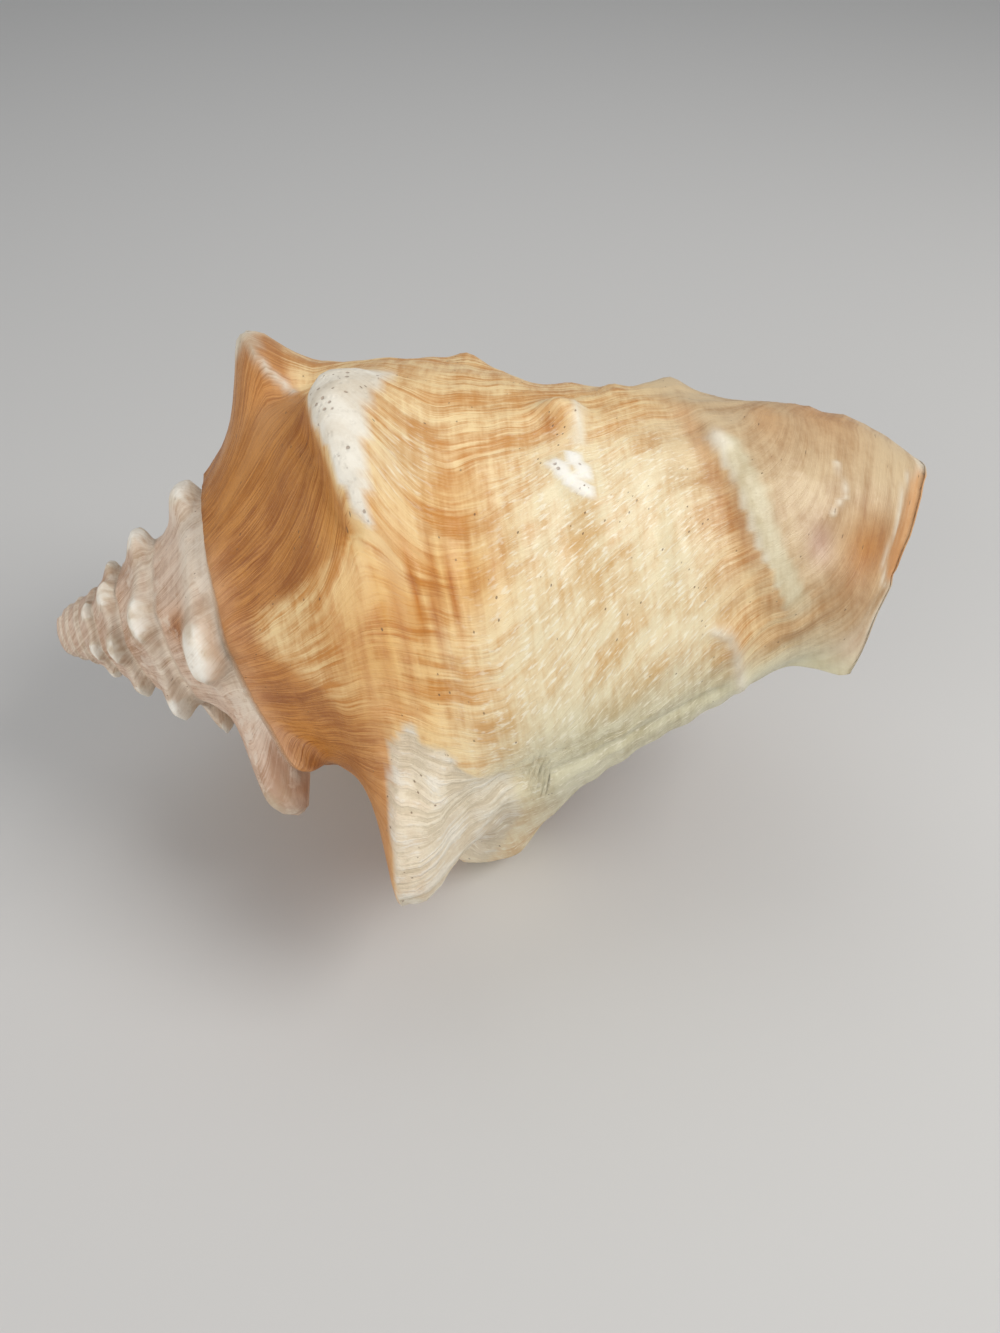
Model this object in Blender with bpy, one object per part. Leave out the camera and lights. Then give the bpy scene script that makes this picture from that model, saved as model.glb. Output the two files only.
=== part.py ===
"""Queen conch shell, a young one whose outer lip has only begun to flare.

It is one natural piece, so it is one closed solid. The shell is a tube that coils round an
axis and grows by the same ratio each turn. The surface is worked out in the shell's own
frame: a station along the coil axis from the apex, a radius, and an angle that counts on
through the turns as the shell grew. Lengths are in millimetres until the mesh is made.
"""
import math

import bmesh
import bpy
import numpy as np

MM = 0.001

# Growth of the coil
GROWTH = 1.5              # how much larger each whorl is than the one before it
FACE_ANGLE = 90.0         # angle of the meridian where the whorl's sizes below are taken
SUTURE_STATION = 48.0     # seam between the last whorl and the one before it
SUTURE_RADIUS = 29.8
SHOULDER_STATION = 73.0   # corner between the ramp and the body
SHOULDER_RADIUS = 46.0
RAMP_SAG = 1.4            # hollow of the ramp between the seam and the shoulder
APEX_BULGE = 3.6          # the worn tip is blunter than a cone
APEX_REACH = 15.0

# The outer lip, where growth stopped
LIP_ANGLE = 195.0
WALL_REAR = 3.6           # thickness of the shell's wall at the shoulder and at the front
WALL_FRONT = 3.0
CAVITY_TURNS = 1.3        # how far the hollow goes back from the lip
CANAL_TURNS = 0.74        # how far back from the lip the front rim stays open
CORNER_STATION = 1.28     # rear end of the hollow, as a multiple of the seam's station
MIN_WALL = 1.2            # thinnest wall, and narrowest gap, beside the pillar
MIN_GAP = 0.8
RIM_STEP = 1.2            # the inside ends this far short of the front rim
EDGE_ROUND = 0.9          # how far the edge stands out beyond the two faces
LIP_THINNING = 0.3        # share by which the wall thins at the lip

# Body radius at stations along the axis, on the meridians of the last half whorl
BODY_TOP = (8.0, ((60, 39), (67, 42), (75, 45), (84, 47.2), (98, 47.6), (107, 45.2), (115, 41.8),
                  (126, 38.0), (144, 35.4), (161, 30.2), (178, 26.3), (189, 22), (196, 17),
                  (203, 9.8), (215, 3), (240, 0)))
BODY_FACE = (90.0, ((66, 42), (73, 46), (80, 49), (88, 50.8), (97, 51.4), (108, 50), (118, 46.8),
                    (132, 41.8), (145, 38), (160, 33.8), (175, 29.4), (185, 25), (193, 19.5),
                    (198, 15), (205, 10)))
BODY_LOW = (150.0, ((70, 45), (78, 50), (88, 54), (97, 56), (109, 55.5), (120, 51.5), (132, 46.8),
                    (146, 41), (160, 35.6), (168, 32.8), (174, 33.2), (179, 35.5), (186, 30), (198, 18)))
BODY_EDGE = (172.0, ((70, 45), (79, 51), (88, 57), (97, 60), (109, 57.4), (115, 54), (122, 51.2),
                     (132, 46.6), (146, 40.6), (160, 35), (167, 32), (173, 35), (178, 44),
                     (184, 46), (190, 38), (198, 22)))
BODY_LOBE = (197.0, ((70, 48), (76, 58), (81, 69), (85, 72.2), (90, 71.8), (96, 72), (103, 70.6),
                     (108.5, 61), (120, 57), (132, 52), (146, 45), (160, 39), (170, 36), (180, 37),
                     (190, 28)))
BODY_UNDER = (212.0, ((70, 48), (76, 58), (81, 67.5), (85, 69.6), (90, 66.6), (96, 66.4), (104, 70),
                      (109, 62), (120, 56), (132, 52), (146, 45), (160, 39), (170, 36), (180, 37),
                      (190, 28)))
MERIDIANS = (BODY_TOP, BODY_FACE, BODY_LOW, BODY_EDGE, BODY_LOBE, BODY_UNDER)
ROUNDING = 2.6            # how far each meridian's corners are smoothed

# The columella, the pillar that the coil is wound on, ends off the axis beside the canal
PILLAR = ((60, 9.5), (100, 9), (140, 8.5), (170, 8), (195, 6.8), (205, 6.4))
PILLAR_OFFSET = 4.0
PILLAR_ANGLE = 215.0
PILLAR_GROWTH = 2.6

# Angle of the lip's edge at each station, and station of the front rim at each angle
LIP_EDGE = ((50, 201), (68, 198), (80, 198), (90, 201), (97, 203), (104, 206), (108, 199), (113, 174),
            (120, 168), (132, 165), (160, 163), (172, 161), (179, 157), (190, 157))
FRONT_RIM = ((-600, 192), (-300, 194), (-165, 197), (-90, 200), (-40, 202), (8, 203), (50, 202.2),
             (85, 199), (116, 195), (134, 191.3), (143, 185.8), (150, 182), (157, 178.5), (200, 178))
LIP_SWEEP_START = 20.0    # angle from which the mesh columns lean towards the lip's edge

# Large knobs on the shoulder: angle and station of the base, then angle, station and radius of
# the tip, then half widths before, after, towards the seam and towards the front, and bluntness
KNOBS = (
    (150, 86.0, 154, 80.5, 75.6, 10, 9, 7.6, 9.5, 2.7),
    (50, 85.0, 50, 81.0, 54.8, 10, 15, 8.2, 11, 3.6),
    (76, 86.5, 76, 84.0, 52.6, 12, 11, 5.4, 8, 3.2),
    (5, 63.0, 3, 55.5, 62.0, 9, 12, 8.5, 10, 2.0),
    (-50, 64.0, -52, 60.0, 57.0, 9, 9, 9, 10, 2.7),
    (-115, 57.5, -115, 58.5, 63.5, 10, 10, 8.5, 9, 3.8),
    (-200, 47.7, -200, 50.2, 50.4, 6.4, 6.4, 6.4, 5.3, 6.0),
    (-251, 44.6, -251, 44.8, 38.5, 6.2, 6.2, 4.8, 4.2, 3.6),
    (-335, 40.4, -335, 39.0, 30.2, 5.4, 5.6, 5.0, 3.8, 5.0),
    (-403, 37.2, -403, 36.0, 33.0, 5, 5, 4.4, 3.2, 3.2),
    (-460, 34.8, -460, 33.8, 31.0, 5, 5, 4.2, 3.0, 3.2),
    (-505, 33.0, -505, 32.5, 32.0, 4.6, 4.6, 4.2, 3.0, 3.4),
)
KNOB_LEVEL = 0.7          # how level a spire knob's blunt end is, across the slope it stands on
# Smaller knobs of the early whorls: turn from the lip and height
EARLY_KNOBS = ((-2.10, 4.6), (-2.28, 4.6), (-2.47, 4.6), (-2.62, 4.6), (-2.77, 4.2), (-2.92, 4.0),
               (-3.07, 3.4), (-3.22, 3.2), (-3.36, 3.0), (-3.50, 2.7), (-3.64, 2.4), (-3.78, 2.1),
               (-3.92, 1.9), (-4.06, 1.7), (-4.20, 1.5), (-4.34, 1.3))
# Low lumps of the body: angle, station, height, half width round and half width along
LUMPS = ((8, 107.5, 3.2, 7, 6), (48, 128.5, 3.6, 4.6, 4.6), (12, 150.0, 3.0, 7, 5), (76, 126, 1.2, 7, 7),
         (100, 84.0, 1.2, 14, 12), (128, 155, 1.4, 7, 4))
# Spiral ridge across the front of the body: angle and station along its line, then its height
RIDGE = ((30, 152), (56, 156), (91, 160.5), (123, 165), (150, 170))
RIDGE_HEIGHT = 1.6
RIDGE_REAR = 2.6          # half widths of its steep rear side and of its gentle front side
RIDGE_FRONT = 5.0
HOLLOW_DEPTH = 1.0
HOLLOW_OFFSET = 7.0
HOLLOW_WIDTH = 5.2

# How the shell lies: the coil axis rises towards the front, and this angle points up
AXIS_RISE = 8.5
UP_ANGLE = 45.0
FLAT_CUT = 1.0            # wear that makes the resting points flat

# Mesh density
COLUMNS = 56              # columns in each turn, an even number
INNER_STEP = 2            # the hollow takes every second column
SEAM_REACH = 9.0          # how far a knob under the seam lifts the next whorl
TURNS = 7.4
RAMP_ROWS = 5
CORNER_ROWS = 3           # body rows covered by the wall at the rear end of the hollow
BODY_ROWS = 20


def growth_scale(angle, reference):
    """How large the whorl is at an angle, against its size at the reference angle."""
    return GROWTH ** ((angle - reference) / 360.0)


def smooth_through(points):
    """A line through a few points, with its corners rounded, as a fine table."""
    grid = np.arange(-20.0, 320.0, 0.5)
    line = np.interp(grid, [p[0] for p in points], [p[1] for p in points])
    offsets = np.arange(-4 * ROUNDING, 4 * ROUNDING + 0.5, 0.5)
    kernel = np.exp(-0.5 * (offsets / ROUNDING) ** 2)
    kernel /= kernel.sum()
    padded = np.pad(line, len(offsets) // 2, mode="edge")
    return grid, np.convolve(padded, kernel, mode="valid")[:len(grid)]


BODY_TABLES = [smooth_through(points) for angle, points in MERIDIANS]
BODY_ANGLES = np.array([angle for angle, points in MERIDIANS])


def ease(value):
    """Smooth step from 0 to 1."""
    t = np.clip(value, 0.0, 1.0)
    return t * t * (3.0 - 2.0 * t)


def soft_max(a, b, width):
    """The larger of two values, with the corner between them rounded."""
    h = np.clip(0.5 + 0.5 * (a - b) / width, 0.0, 1.0)
    return b * (1.0 - h) + a * h + width * h * (1.0 - h)


def table_radius(index, station):
    grid, values = BODY_TABLES[index]
    return np.interp(station, grid, values)


def pillar_radius(station, angle):
    """Distance from the coil axis to the face of the off-centre pillar."""
    turn = np.radians(angle - PILLAR_ANGLE)
    offset = PILLAR_OFFSET * ease((station - 120.0) / 70.0)
    radius = np.interp(station, [p[0] for p in PILLAR], [p[1] for p in PILLAR])
    reach = np.sqrt(np.maximum(radius ** 2 - (offset * np.sin(turn)) ** 2, 0.5))
    return offset * np.cos(turn) + reach + PILLAR_GROWTH * (angle - LIP_ANGLE + 360.0) / 360.0


def grown_radius(station, angle):
    """Radius of the older part, which repeats the top meridian at a smaller scale."""
    scale = growth_scale(angle, BODY_ANGLES[0])
    return soft_max(scale * table_radius(0, station / scale), pillar_radius(station, angle), 4.0)


def measured_radius(station, angle):
    """Radius of the last half whorl, a smooth blend of the measured meridians."""
    values = np.stack([table_radius(k, station) for k in range(len(BODY_TABLES))], -1)
    slopes = np.diff(values, axis=-1) / np.diff(BODY_ANGLES)
    tangents = np.concatenate([slopes[..., :1], 0.5 * (slopes[..., 1:] + slopes[..., :-1]),
                               slopes[..., -1:]], -1)
    inside = np.clip(angle, BODY_ANGLES[0], BODY_ANGLES[-1])
    left = np.clip(np.searchsorted(BODY_ANGLES, inside, side="right") - 1, 0, len(BODY_ANGLES) - 2)
    span = BODY_ANGLES[left + 1] - BODY_ANGLES[left]
    t = (inside - BODY_ANGLES[left]) / span

    def pick(array, shift):
        return np.take_along_axis(array, (left + shift)[..., None], -1)[..., 0]

    blend = (pick(values, 0) * (2 * t ** 3 - 3 * t ** 2 + 1) + pick(values, 1) * (3 * t ** 2 - 2 * t ** 3)
             + span * pick(tangents, 0) * (t ** 3 - 2 * t ** 2 + t)
             + span * pick(tangents, 1) * (t ** 3 - t ** 2))
    return blend


def body_radius(station, angle):
    share = ease((angle - BODY_ANGLES[0] + 50.0) / 50.0)
    return grown_radius(station, angle) * (1.0 - share) + measured_radius(station, angle) * share


def seam_station(angle):
    return SUTURE_STATION * growth_scale(angle, FACE_ANGLE)


def ramp_radius(station, angle):
    """The ramp rises from the seam to the shoulder, slightly hollow."""
    scale = growth_scale(angle, FACE_ANGLE)
    t = (station / scale - SUTURE_STATION) / (SHOULDER_STATION - SUTURE_STATION)
    straight = SUTURE_RADIUS + (SHOULDER_RADIUS - SUTURE_RADIUS) * t
    return scale * (straight - RAMP_SAG * np.sin(np.pi * np.clip(t, 0.0, 1.0)))


def base_radius(station, angle):
    """Outer face without its knobs: the ramp, then the rounded shoulder, then the body."""
    station, angle = np.broadcast_arrays(np.asarray(station, float), np.asarray(angle, float))
    scale = growth_scale(angle, FACE_ANGLE)
    share = ease((station / scale - SHOULDER_STATION + 5.0) / 10.0)
    worn_tip = APEX_BULGE * np.exp(-(station / APEX_REACH) ** 2)
    return ramp_radius(station, angle) * (1.0 - share) + body_radius(station, angle) * share + worn_tip


def early_knob(turn, height):
    """A knob of an early whorl, in the same terms as the large ones."""
    angle = LIP_ANGLE + 360.0 * turn
    scale = growth_scale(angle, FACE_ANGLE)
    station = 0.885 * SHOULDER_STATION * scale
    radius = float(base_radius(station, angle)) + height
    width = 8.6 * scale ** 0.8
    return (angle, station, angle, 0.97 * station, radius, width, width, 0.85 * width, 0.7 * width, 3.2)


ALL_KNOBS = KNOBS + tuple(early_knob(turn, height) for turn, height in EARLY_KNOBS)


def knob_push(station, radius, angle):
    """How far the knobs move a point of the outer face, along, out and round."""
    push = np.zeros((3,) + station.shape)
    for base_angle, base, tip_angle, tip, tip_radius, before, after, back, front, blunt in ALL_KNOBS:
        round_way = np.radians(angle - base_angle) * radius
        along = (station - base) * 1.12
        distance = np.hypot(round_way / np.where(round_way < 0, before, after),
                            along / np.where(along < 0, back, front))
        spire_knob = base_angle < -165.0
        power = np.where((along > 0) & spire_knob, max(blunt, 7.0), blunt)
        share = ease((6.0 - distance) / 3.0) / (1.0 + distance ** power)
        share = np.where(np.abs(angle - base_angle) < 120.0, share, 0.0)
        push[0] += share * (tip - base)
        base_height = float(base_radius(base, base_angle))
        level = KNOB_LEVEL if spire_knob else 0.0
        push[1] += share * (tip_radius - base_height - level * (radius - base_height))
        push[2] += share * math.radians(tip_angle - base_angle) * tip_radius
    return push


def relief(station, radius, angle):
    """Low lumps, and the spiral ridge with the hollow behind it."""
    height = np.zeros(station.shape)
    for lump_angle, lump_station, lump_height, wide, long in LUMPS:
        round_way = np.radians(angle - lump_angle) * radius
        height += lump_height * np.exp(-(round_way / wide) ** 2 - ((station - lump_station) / long) ** 2)
    line = np.interp(angle, [p[0] for p in RIDGE], [p[1] for p in RIDGE])
    strength = ease((angle - RIDGE[0][0]) / 25.0) * ease((RIDGE[-1][0] - angle) / 30.0)
    away = station - line
    width = np.where(away < 0.0, RIDGE_REAR, RIDGE_FRONT)
    height += strength * RIDGE_HEIGHT * np.exp(-(away / width) ** 2)
    height -= strength * HOLLOW_DEPTH * np.exp(-((away + HOLLOW_OFFSET) / HOLLOW_WIDTH) ** 2)
    return height


def outer_face(station, angle):
    """Station, radius and angle of the finished outer face."""
    radius = base_radius(station, angle)
    along, out, round_way = knob_push(station, radius, angle)
    out = out + relief(station, radius, angle)
    return station + along, radius + out, angle + np.degrees(round_way / np.maximum(radius + out, 1.0))


def lip_angle(station):
    return np.interp(station, [p[0] for p in LIP_EDGE], [p[1] for p in LIP_EDGE])


def rim_station(angle):
    return np.interp(angle, [p[0] for p in FRONT_RIM], [p[1] for p in FRONT_RIM])


def row_station(angle, row):
    """Station of a mesh row: ramp rows end where the next whorl's seam runs, body rows at the rim."""
    seam = seam_station(angle)
    next_seam = seam * GROWTH
    ramp = seam + (next_seam - seam) * np.minimum(row / RAMP_ROWS, 1.0)
    t = np.clip((row - RAMP_ROWS) / BODY_ROWS, 0.0, 1.0)
    return ramp + (rim_station(angle) - next_seam) * t * (row > RAMP_ROWS)


def leaned_grid(columns, rows):
    """Station and angle of the last whorl's mesh, whose last column is the lip's edge."""
    turn_angle, row = np.meshgrid(LIP_ANGLE + 360.0 * columns / COLUMNS, rows, indexing="ij")
    share = np.clip((turn_angle - LIP_SWEEP_START) / (LIP_ANGLE - LIP_SWEEP_START), 0.0, 1.0) ** 2
    angle = turn_angle.copy()
    for _ in range(14):
        station = row_station(angle, row)
        angle = turn_angle + (lip_angle(station) - LIP_ANGLE) * share
    return station, angle


class ShellMesh:
    """Collects the vertices and faces of the one closed skin."""

    def __init__(self):
        self.points = []
        self.faces = []

    def add(self, station, radius, angle):
        self.points.append((float(station), float(radius), float(angle)))
        return len(self.points) - 1

    def quad(self, *corners):
        corners = [c for k, c in enumerate(corners) if c != corners[k - 1]]
        if len(corners) > 2:
            self.faces.append(tuple(corners))

    def sheet(self, grid, flip=False):
        """Faces between the neighbouring columns of a list of columns."""
        for left, right in zip(grid[:-1], grid[1:]):
            for k in range(len(left) - 1):
                corners = (left[k], right[k], right[k + 1], left[k + 1])
                self.quad(*(corners[::-1] if flip else corners))

    def fan(self, loop, centre):
        for here, after in zip(loop, loop[1:] + loop[:1]):
            self.quad(here, after, centre)


def to_space(points):
    """From station, radius and angle to the resting part's own axes, in millimetres."""
    station, radius, angle = np.array(points).T
    turn = np.radians(angle - UP_ANGLE)
    up = radius * np.cos(turn)
    near = radius * np.sin(turn)
    rise = math.radians(AXIS_RISE)
    x = station * math.cos(rise) - up * math.sin(rise)
    z = station * math.sin(rise) + up * math.cos(rise)
    return np.stack([x, -near, z], -1)


def build_points():
    """The whole skin: spire, last whorl, lip, hollow, pillar and caps."""
    mesh = ShellMesh()
    first = -int(round(TURNS * COLUMNS))
    depth = INNER_STEP * int(round(CAVITY_TURNS * COLUMNS / INNER_STEP))
    canal = -INNER_STEP * int(round(CANAL_TURNS * COLUMNS / INNER_STEP))
    last_row = RAMP_ROWS + BODY_ROWS
    corner_row = RAMP_ROWS + CORNER_ROWS
    rows = np.arange(last_row + 1)
    ramp_rows = rows[:RAMP_ROWS + 1]
    inner_rows = rows[corner_row:]
    outer = {}

    def add_column(column, station, angle, column_rows):
        """One column of the outer face, joined to the seam of the whorl below."""
        place = np.stack(outer_face(station, angle))
        below = outer.get((column - COLUMNS, RAMP_ROWS))
        if below is not None:
            reach = SEAM_REACH * station[0] / SUTURE_STATION
            carry = np.exp(-((station - station[0]) / reach) ** 2)
            seam = np.array([station[0], float(base_radius(station[0], angle[0])), angle[0] - 360.0])
            shift = np.array(mesh.points[below]) - seam
            place = place + shift[:, None] * carry
        for row in column_rows:
            if row == 0 and below is not None:
                outer[column, row] = below
            elif (column, row) not in outer:
                outer[column, row] = mesh.add(*place[:, row])

    def plain_column(column):
        angle = np.full(len(rows), LIP_ANGLE + 360.0 * column / COLUMNS)
        return row_station(angle, rows), angle

    # Spire whorls
    for column in range(first, -COLUMNS + 1):
        station, angle = plain_column(column)
        add_column(column, station, angle, ramp_rows)
    mesh.sheet([[outer[c, r] for r in ramp_rows] for c in range(first, -COLUMNS + 1)])

    # Last whorl
    columns = np.arange(-COLUMNS, 1)
    leaned_station, leaned_angle = leaned_grid(columns, rows)
    for column in columns:
        add_column(column, leaned_station[column + COLUMNS], leaned_angle[column + COLUMNS], rows)
    mesh.sheet([[outer[c, r] for r in rows] for c in columns])

    # Face of the older whorls inside the hollow, down to the pillar
    old = range(-COLUMNS - depth, -COLUMNS + 1, INNER_STEP)
    for column in old:
        station, angle = plain_column(column)
        for row in inner_rows:
            if (column, row) not in outer:
                radius = float(base_radius(station[row], angle[row]))
                outer[column, row] = mesh.add(station[row], radius, angle[row])
    mesh.sheet([[outer[c, r] for r in inner_rows] for c in old])

    # Inside of the outer wall
    inside = {}
    hollow = range(-depth, 1, INNER_STEP)
    for column in hollow:
        if column < -COLUMNS:
            line, line_angle = plain_column(column)
        else:
            line, line_angle = leaned_station[column + COLUMNS], leaned_angle[column + COLUMNS]
        start = seam_station(LIP_ANGLE + 360.0 * column / COLUMNS) * CORNER_STATION
        station = start + (line[-1] - RIM_STEP - start) * (rows / last_row) ** 0.9
        angle = np.interp(station, line, line_angle)
        outside = base_radius(station, angle)
        floor = base_radius(station, angle - 360.0)
        slope = (base_radius(station + 1.0, angle) - base_radius(station - 1.0, angle)) / 2.0
        plain = np.interp(rows, (0, last_row), (WALL_REAR, WALL_FRONT))
        wall = plain * np.sqrt(1.0 + np.clip(slope, -1.2, 1.2) ** 2)
        wall = wall * (1.0 - LIP_THINNING * ease(1.0 + column / COLUMNS / 0.05))
        radius = soft_max(outside - wall, floor + MIN_GAP, 1.0)
        radius = np.minimum(radius, outside - MIN_WALL)
        for row in rows:
            if row == 0:
                inside[column, row] = outer[column - COLUMNS, corner_row]
            elif row == last_row and column <= canal:
                inside[column, row] = outer[column - COLUMNS, last_row]
            else:
                inside[column, row] = mesh.add(station[row], radius[row], angle[row])
    mesh.sheet([[inside[c, r] for r in rows] for c in hollow], flip=True)

    # Rounded edge of the lip, then of the front rim
    def middle(left, right, along, round_way):
        point = 0.5 * (np.array(mesh.points[left]) + np.array(mesh.points[right]))
        point[0] += along
        point[2] += math.degrees(round_way / point[1])
        return mesh.add(*point)

    lip = []
    for row in rows:
        left, right = outer[0, row], inside[0, row]
        along = EDGE_ROUND if row == last_row else 0.0
        lip.append([left, middle(left, right, along, EDGE_ROUND), right])
    mesh.sheet(lip)
    rear_edge = [outer[-COLUMNS, row] for row in range(RAMP_ROWS, corner_row + 1)]
    mesh.faces.append(tuple(rear_edge + [lip[0][1]]))
    crest = {0: lip[-1][1]}
    for column in range(-1, canal - 1, -1):
        here = INNER_STEP * round(column / INNER_STEP)
        share = (column - here) / INNER_STEP
        near = np.array(mesh.points[inside[here, last_row]])
        if share:
            side = here + (INNER_STEP if share > 0 else -INNER_STEP)
            near = near + (np.array(mesh.points[inside[side, last_row]]) - near) * abs(share)
        point = 0.5 * (np.array(mesh.points[outer[column, last_row]]) + near)
        crest[column] = mesh.add(point[0] + EDGE_ROUND, point[1], point[2])
    for column in range(0, canal, -1):
        mesh.quad(outer[column, last_row], outer[column - 1, last_row], crest[column - 1], crest[column])
    for column in range(0, canal, -INNER_STEP):
        near = inside[column, last_row]
        far = inside[column - INNER_STEP, last_row]
        half = INNER_STEP // 2
        for k in range(half):
            mesh.quad(near, crest[column - k], crest[column - k - 1])
        mesh.quad(near, crest[column - half], far)
        for k in range(half, INNER_STEP):
            mesh.quad(far, crest[column - k], crest[column - k - 1])

    # Deep end of the hollow, the pillar's tip and the apex
    deep = [inside[-depth, row] for row in rows]
    deep += [outer[-COLUMNS - depth, row] for row in inner_rows[::-1][1:-1]]
    centre = np.array([mesh.points[k] for k in deep]).mean(0)
    mesh.fan(deep, mesh.add(centre[0], centre[1], LIP_ANGLE - 360.0 * depth / COLUMNS))
    tip = [outer[column, last_row] for column in range(canal, -COLUMNS, -1)]
    tip += [outer[column, last_row] for column in range(-COLUMNS, canal - COLUMNS - 1, -INNER_STEP)]
    tip += [crest[canal]]
    mesh.fan(tip, mesh.add(max(mesh.points[k][0] for k in tip) + EDGE_ROUND, 0.0, PILLAR_ANGLE))
    start = [outer[first, row] for row in ramp_rows[::-1]]
    start += [outer[column, 0] for column in range(first + 1, first + COLUMNS)]
    mesh.fan(start, mesh.add(mesh.points[outer[first, 0]][0] - 1.5, 0.0, 0.0))
    return mesh


def make_shell():
    mesh = build_points()
    points = to_space(mesh.points)
    points[:, 2] -= points[:, 2].min() + FLAT_CUT
    work = bmesh.new()
    corners = [work.verts.new(p * MM) for p in points]
    for face in mesh.faces:
        work.faces.new([corners[k] for k in face])
    bmesh.ops.recalc_face_normals(work, faces=work.faces)
    if work.calc_volume(signed=True) < 0:
        bmesh.ops.reverse_faces(work, faces=work.faces)
    bmesh.ops.triangulate(work, faces=work.faces)

    # The resting points are worn flat
    everything = work.verts[:] + work.edges[:] + work.faces[:]
    bmesh.ops.bisect_plane(work, geom=everything, dist=0.05 * MM, plane_co=(0.0, 0.0, 0.0),
                           plane_no=(0.0, 0.0, 1.0), clear_inner=True)
    for corner in work.verts:
        if corner.co.z < 0.06 * MM:
            corner.co.z = 0.0
    rims = [edge for edge in work.edges if edge.is_boundary]
    bmesh.ops.holes_fill(work, edges=rims, sides=0)
    bmesh.ops.triangulate(work, faces=work.faces)

    # The origin lies under the middle of the shell
    low = [min(v.co[axis] for v in work.verts) for axis in range(3)]
    high = [max(v.co[axis] for v in work.verts) for axis in range(3)]
    middle = (-(low[0] + high[0]) / 2.0, -(low[1] + high[1]) / 2.0, 0.0)
    bmesh.ops.translate(work, verts=work.verts, vec=middle)
    data = bpy.data.meshes.new("conch_shell")
    work.to_mesh(data)
    work.free()
    data.shade_smooth()
    shell = bpy.data.objects.new("conch_shell", data)
    bpy.context.collection.objects.link(shell)
    return shell


def shell_material():
    material = bpy.data.materials.new("shell")
    material.use_nodes = True
    surface = material.node_tree.nodes["Principled BSDF"]
    surface.inputs["Base Color"].default_value = (0.78, 0.56, 0.32, 1.0)
    surface.inputs["Roughness"].default_value = 0.38
    surface.inputs["Metallic"].default_value = 0.0
    return material


def main():
    for item in list(bpy.data.objects):
        bpy.data.objects.remove(item, do_unlink=True)
    shell = make_shell()
    shell.data.materials.append(shell_material())


main()
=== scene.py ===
"""Looks of the queen conch shell: a fine mesh of its surface, its colours, a floor, lights and camera.

The shell is a tube that coils round an axis and grows by the same ratio each turn. The surface is
worked out in the shell's own frame: a station along the coil axis from the apex, a radius, and an
angle that counts on through the turns as the shell grew. Lengths are in millimetres until the
mesh is made.
"""
import math

import bpy
import numpy as np
from mathutils import Matrix, Vector


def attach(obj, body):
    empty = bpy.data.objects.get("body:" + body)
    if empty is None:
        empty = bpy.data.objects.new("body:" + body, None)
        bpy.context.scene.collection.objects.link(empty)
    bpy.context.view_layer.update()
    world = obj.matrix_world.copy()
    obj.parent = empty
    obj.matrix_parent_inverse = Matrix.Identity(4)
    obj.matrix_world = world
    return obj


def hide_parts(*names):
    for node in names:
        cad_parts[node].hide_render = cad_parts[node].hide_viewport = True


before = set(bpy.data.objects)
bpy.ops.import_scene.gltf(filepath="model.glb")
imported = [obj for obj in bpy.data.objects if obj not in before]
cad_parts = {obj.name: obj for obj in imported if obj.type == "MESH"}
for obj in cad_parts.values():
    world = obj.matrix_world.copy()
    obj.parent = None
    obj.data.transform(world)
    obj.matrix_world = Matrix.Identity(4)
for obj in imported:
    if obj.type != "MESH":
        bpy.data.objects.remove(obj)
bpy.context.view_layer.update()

MM = 0.001

# Growth of the coil
GROWTH = 1.5              # how much larger each whorl is than the one before it
FACE_ANGLE = 90.0         # angle of the meridian where the whorl's sizes below are taken
SUTURE_STATION = 48.0     # seam between the last whorl and the one before it
SUTURE_RADIUS = 29.8
SHOULDER_STATION = 73.0   # corner between the ramp and the body
SHOULDER_RADIUS = 46.0
RAMP_SAG = 1.4            # hollow of the ramp between the seam and the shoulder
APEX_BULGE = 3.6          # the worn tip is blunter than a cone
APEX_REACH = 15.0

# The outer lip, where growth stopped
LIP_ANGLE = 195.0
WALL_REAR = 3.6           # thickness of the shell's wall at the shoulder and at the front
WALL_FRONT = 3.0
CAVITY_TURNS = 1.3        # how far the hollow goes back from the lip
CANAL_TURNS = 0.74        # how far back from the lip the front rim stays open
CORNER_STATION = 1.28     # rear end of the hollow, as a multiple of the seam's station
MIN_WALL = 1.2            # thinnest wall, and narrowest gap, beside the pillar
MIN_GAP = 0.8
RIM_STEP = 1.2            # the inside ends this far short of the front rim
EDGE_ROUND = 0.9          # how far the edge stands out beyond the two faces
LIP_THINNING = 0.3        # share by which the wall thins at the lip

# Body radius at stations along the axis, on the meridians of the last half whorl
BODY_TOP = (8.0, ((60, 39), (67, 42), (75, 45), (84, 47.2), (98, 47.6), (107, 45.2), (115, 41.8),
                  (126, 38.0), (144, 35.4), (161, 30.2), (178, 26.3), (189, 22), (196, 17),
                  (203, 9.8), (215, 3), (240, 0)))
BODY_FACE = (90.0, ((66, 42), (73, 46), (80, 49), (88, 50.8), (97, 51.4), (108, 50), (118, 46.8),
                    (132, 41.8), (145, 38), (160, 33.8), (175, 29.4), (185, 25), (193, 19.5),
                    (198, 15), (205, 10)))
BODY_LOW = (150.0, ((70, 45), (78, 50), (88, 54), (97, 56), (109, 55.5), (120, 51.5), (132, 46.8),
                    (146, 41), (160, 35.6), (168, 32.8), (174, 33.2), (179, 35.5), (186, 30), (198, 18)))
BODY_EDGE = (172.0, ((70, 45), (79, 51), (88, 57), (97, 60), (109, 57.4), (115, 54), (122, 51.2),
                     (132, 46.6), (146, 40.6), (160, 35), (167, 32), (173, 35), (178, 44),
                     (184, 46), (190, 38), (198, 22)))
BODY_LOBE = (197.0, ((70, 48), (76, 58), (81, 69), (85, 72.2), (90, 71.8), (96, 72), (103, 70.6), (108.5, 61),
                     (120, 57), (132, 52), (146, 45), (160, 39), (170, 36), (180, 37), (190, 28)))
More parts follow.
